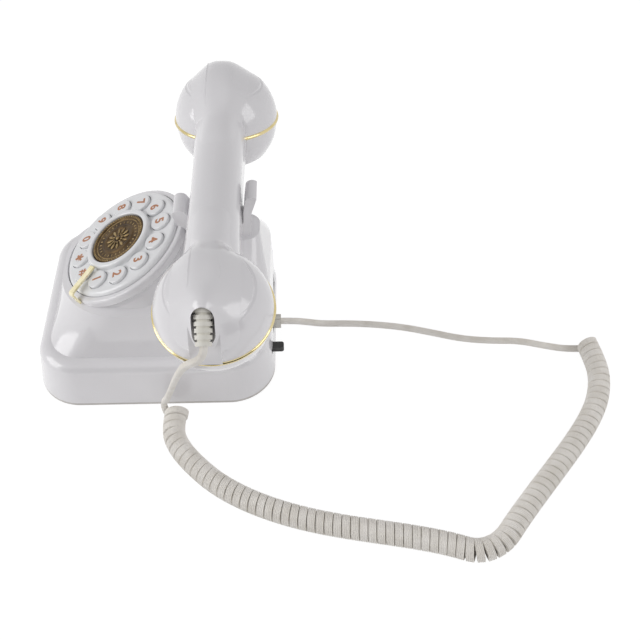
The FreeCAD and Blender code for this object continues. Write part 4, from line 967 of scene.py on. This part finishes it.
class TELEPHONE_OT_stage(bpy.types.Operator):
    """Set the pale floor, the soft studio light and the camera at the photograph's angle"""

    bl_idname = "telephone.stage"
    bl_label = "Studio and camera"

    def execute(self, context):
        self.lay_floor(context)
        self.light_world(context)
        lamp("key_lamp", KEY_PLACE, KEY_SIZE, looks().key_light)
        lamp("fill_lamp", FILL_PLACE, FILL_SIZE, looks().fill_light)
        self.hang_flag(context)
        self.set_camera(context)
        return {"FINISHED"}

    def hang_flag(self, context):
        """A dull black velvet flag, for reflections only, so that the gold has something dark in it."""
        mesh = bpy.data.meshes.new("black_flag")
        corners = [(FLAG_X, FLAG_FRONT, 0), (FLAG_X, FLAG_REAR, 0), (FLAG_X, FLAG_REAR, FLAG_TOP),
                   (FLAG_X, FLAG_FRONT, FLAG_TOP)]
        mesh.from_pydata(corners, [], [(0, 1, 2, 3)])
        flag = bpy.data.objects.new("black_flag", mesh)
        context.scene.collection.objects.link(flag)
        velvet = surface("Velvet, woven, black", **{"Base Color": linear("#0A0A0A"), "Roughness": 1.0})[0]
        mesh.materials.append(velvet)
        flag.visible_camera = False
        flag.visible_diffuse = False
        flag.visible_shadow = False

    def lay_floor(self, context):
        """White studio paper: matt, seamless and bright, with the telephone's soft shadow on it."""
        side = looks().floor_size / 2
        mesh = bpy.data.meshes.new("floor")
        corners = [(-side, -side, 0), (side, -side, 0), (side, side, 0), (-side, side, 0)]
        mesh.from_pydata(corners, [], [(0, 1, 2, 3)])
        floor = bpy.data.objects.new("floor", mesh)
        context.scene.collection.objects.link(floor)
        material = bpy.data.materials.new("Studio paper, white")
        material.use_nodes = True
        tree = material.node_tree
        tree.nodes.clear()
        paper = add_node(tree, "ShaderNodeBsdfDiffuse", {"Color": linear("#F4F4F4")})
        seen, white = white_to_eye(tree, "ShaderNodeEmission", FLOOR_GLOW)
        share = add_node(tree, "ShaderNodeMath", {1: FLOOR_GLOW_SHARE}, {0: (seen, "Value")},
                         operation="MULTIPLY")
        mixed = add_node(tree, "ShaderNodeMixShader",
                         links={0: (share, "Value"), 1: (paper, "BSDF"), 2: (white, "Emission")})
        add_node(tree, "ShaderNodeOutputMaterial", links={"Surface": (mixed, "Shader")})
        mesh.materials.append(material)

    def light_world(self, context):
        """An even light from all sides, which the camera and the reflections see as plain white."""
        world = bpy.data.worlds.new("Studio")
        context.scene.world = world
        world.use_nodes = True
        tree = world.node_tree
        tree.nodes.clear()
        even = add_node(tree, "ShaderNodeBackground",
                        {"Color": linear("#F6F4F6"), "Strength": looks().surround})
        seen, white = white_to_eye(tree, "ShaderNodeBackground", 1.0)
        mixed = add_node(tree, "ShaderNodeMixShader",
                         links={0: (seen, "Value"), 1: (even, "Background"), 2: (white, "Background")})
        add_node(tree, "ShaderNodeOutputWorld", links={"Surface": (mixed, "Shader")})

    def set_camera(self, context):
        """The photograph's camera, with colours shown as they are written."""
        data = bpy.data.cameras.new("photo_camera")
        data.sensor_fit = "HORIZONTAL"
        data.sensor_width = SENSOR_WIDTH
        data.lens = CAMERA_LENS
        data.clip_start = CAMERA_CLIP
        camera = bpy.data.objects.new("photo_camera", data)
        context.scene.collection.objects.link(camera)
        turn = (CAMERA_AIM - CAMERA_PLACE).to_track_quat("-Z", "Y").to_matrix().to_4x4()
        roll = Matrix.Rotation(CAMERA_ROLL, 4, "Z")
        camera.matrix_world = Matrix.Translation(CAMERA_PLACE) @ turn @ roll
        context.scene.camera = camera
        context.scene.view_settings.view_transform = "Standard"


class TELEPHONE_PT_panel(bpy.types.Panel):
    """Lists the telephone's sizes, colours, lights and operators"""

    bl_idname = "TELEPHONE_PT_panel"
    bl_label = "Telephone"
    bl_space_type = "VIEW_3D"
    bl_region_type = "UI"
    bl_category = "Telephone"

    def draw(self, context):
        for name in TelephoneLooks.__annotations__:
            self.layout.prop(context.scene.telephone_looks, name)
        for operator in OPERATORS:
            self.layout.operator(operator.bl_idname)


OPERATORS = (
    TELEPHONE_OT_finishes, TELEPHONE_OT_handset_blends, TELEPHONE_OT_numerals, TELEPHONE_OT_ornament,
    TELEPHONE_OT_ring_beads, TELEPHONE_OT_cord, TELEPHONE_OT_stage,
)
CLASSES = (TelephoneLooks, *OPERATORS, TELEPHONE_PT_panel)


def register():
    for kind in CLASSES:
        bpy.utils.register_class(kind)
    bpy.types.Scene.telephone_looks = bpy.props.PointerProperty(type=TelephoneLooks)


def unregister():
    del bpy.types.Scene.telephone_looks
    for kind in reversed(CLASSES):
        bpy.utils.unregister_class(kind)


def main():
    register()
    bpy.ops.telephone.finishes()
    bpy.ops.telephone.handset_blends()
    bpy.ops.telephone.numerals()
    bpy.ops.telephone.ornament()
    bpy.ops.telephone.ring_beads()
    bpy.ops.telephone.cord()
    bpy.ops.telephone.stage()


if __name__ == "__main__":
    main()
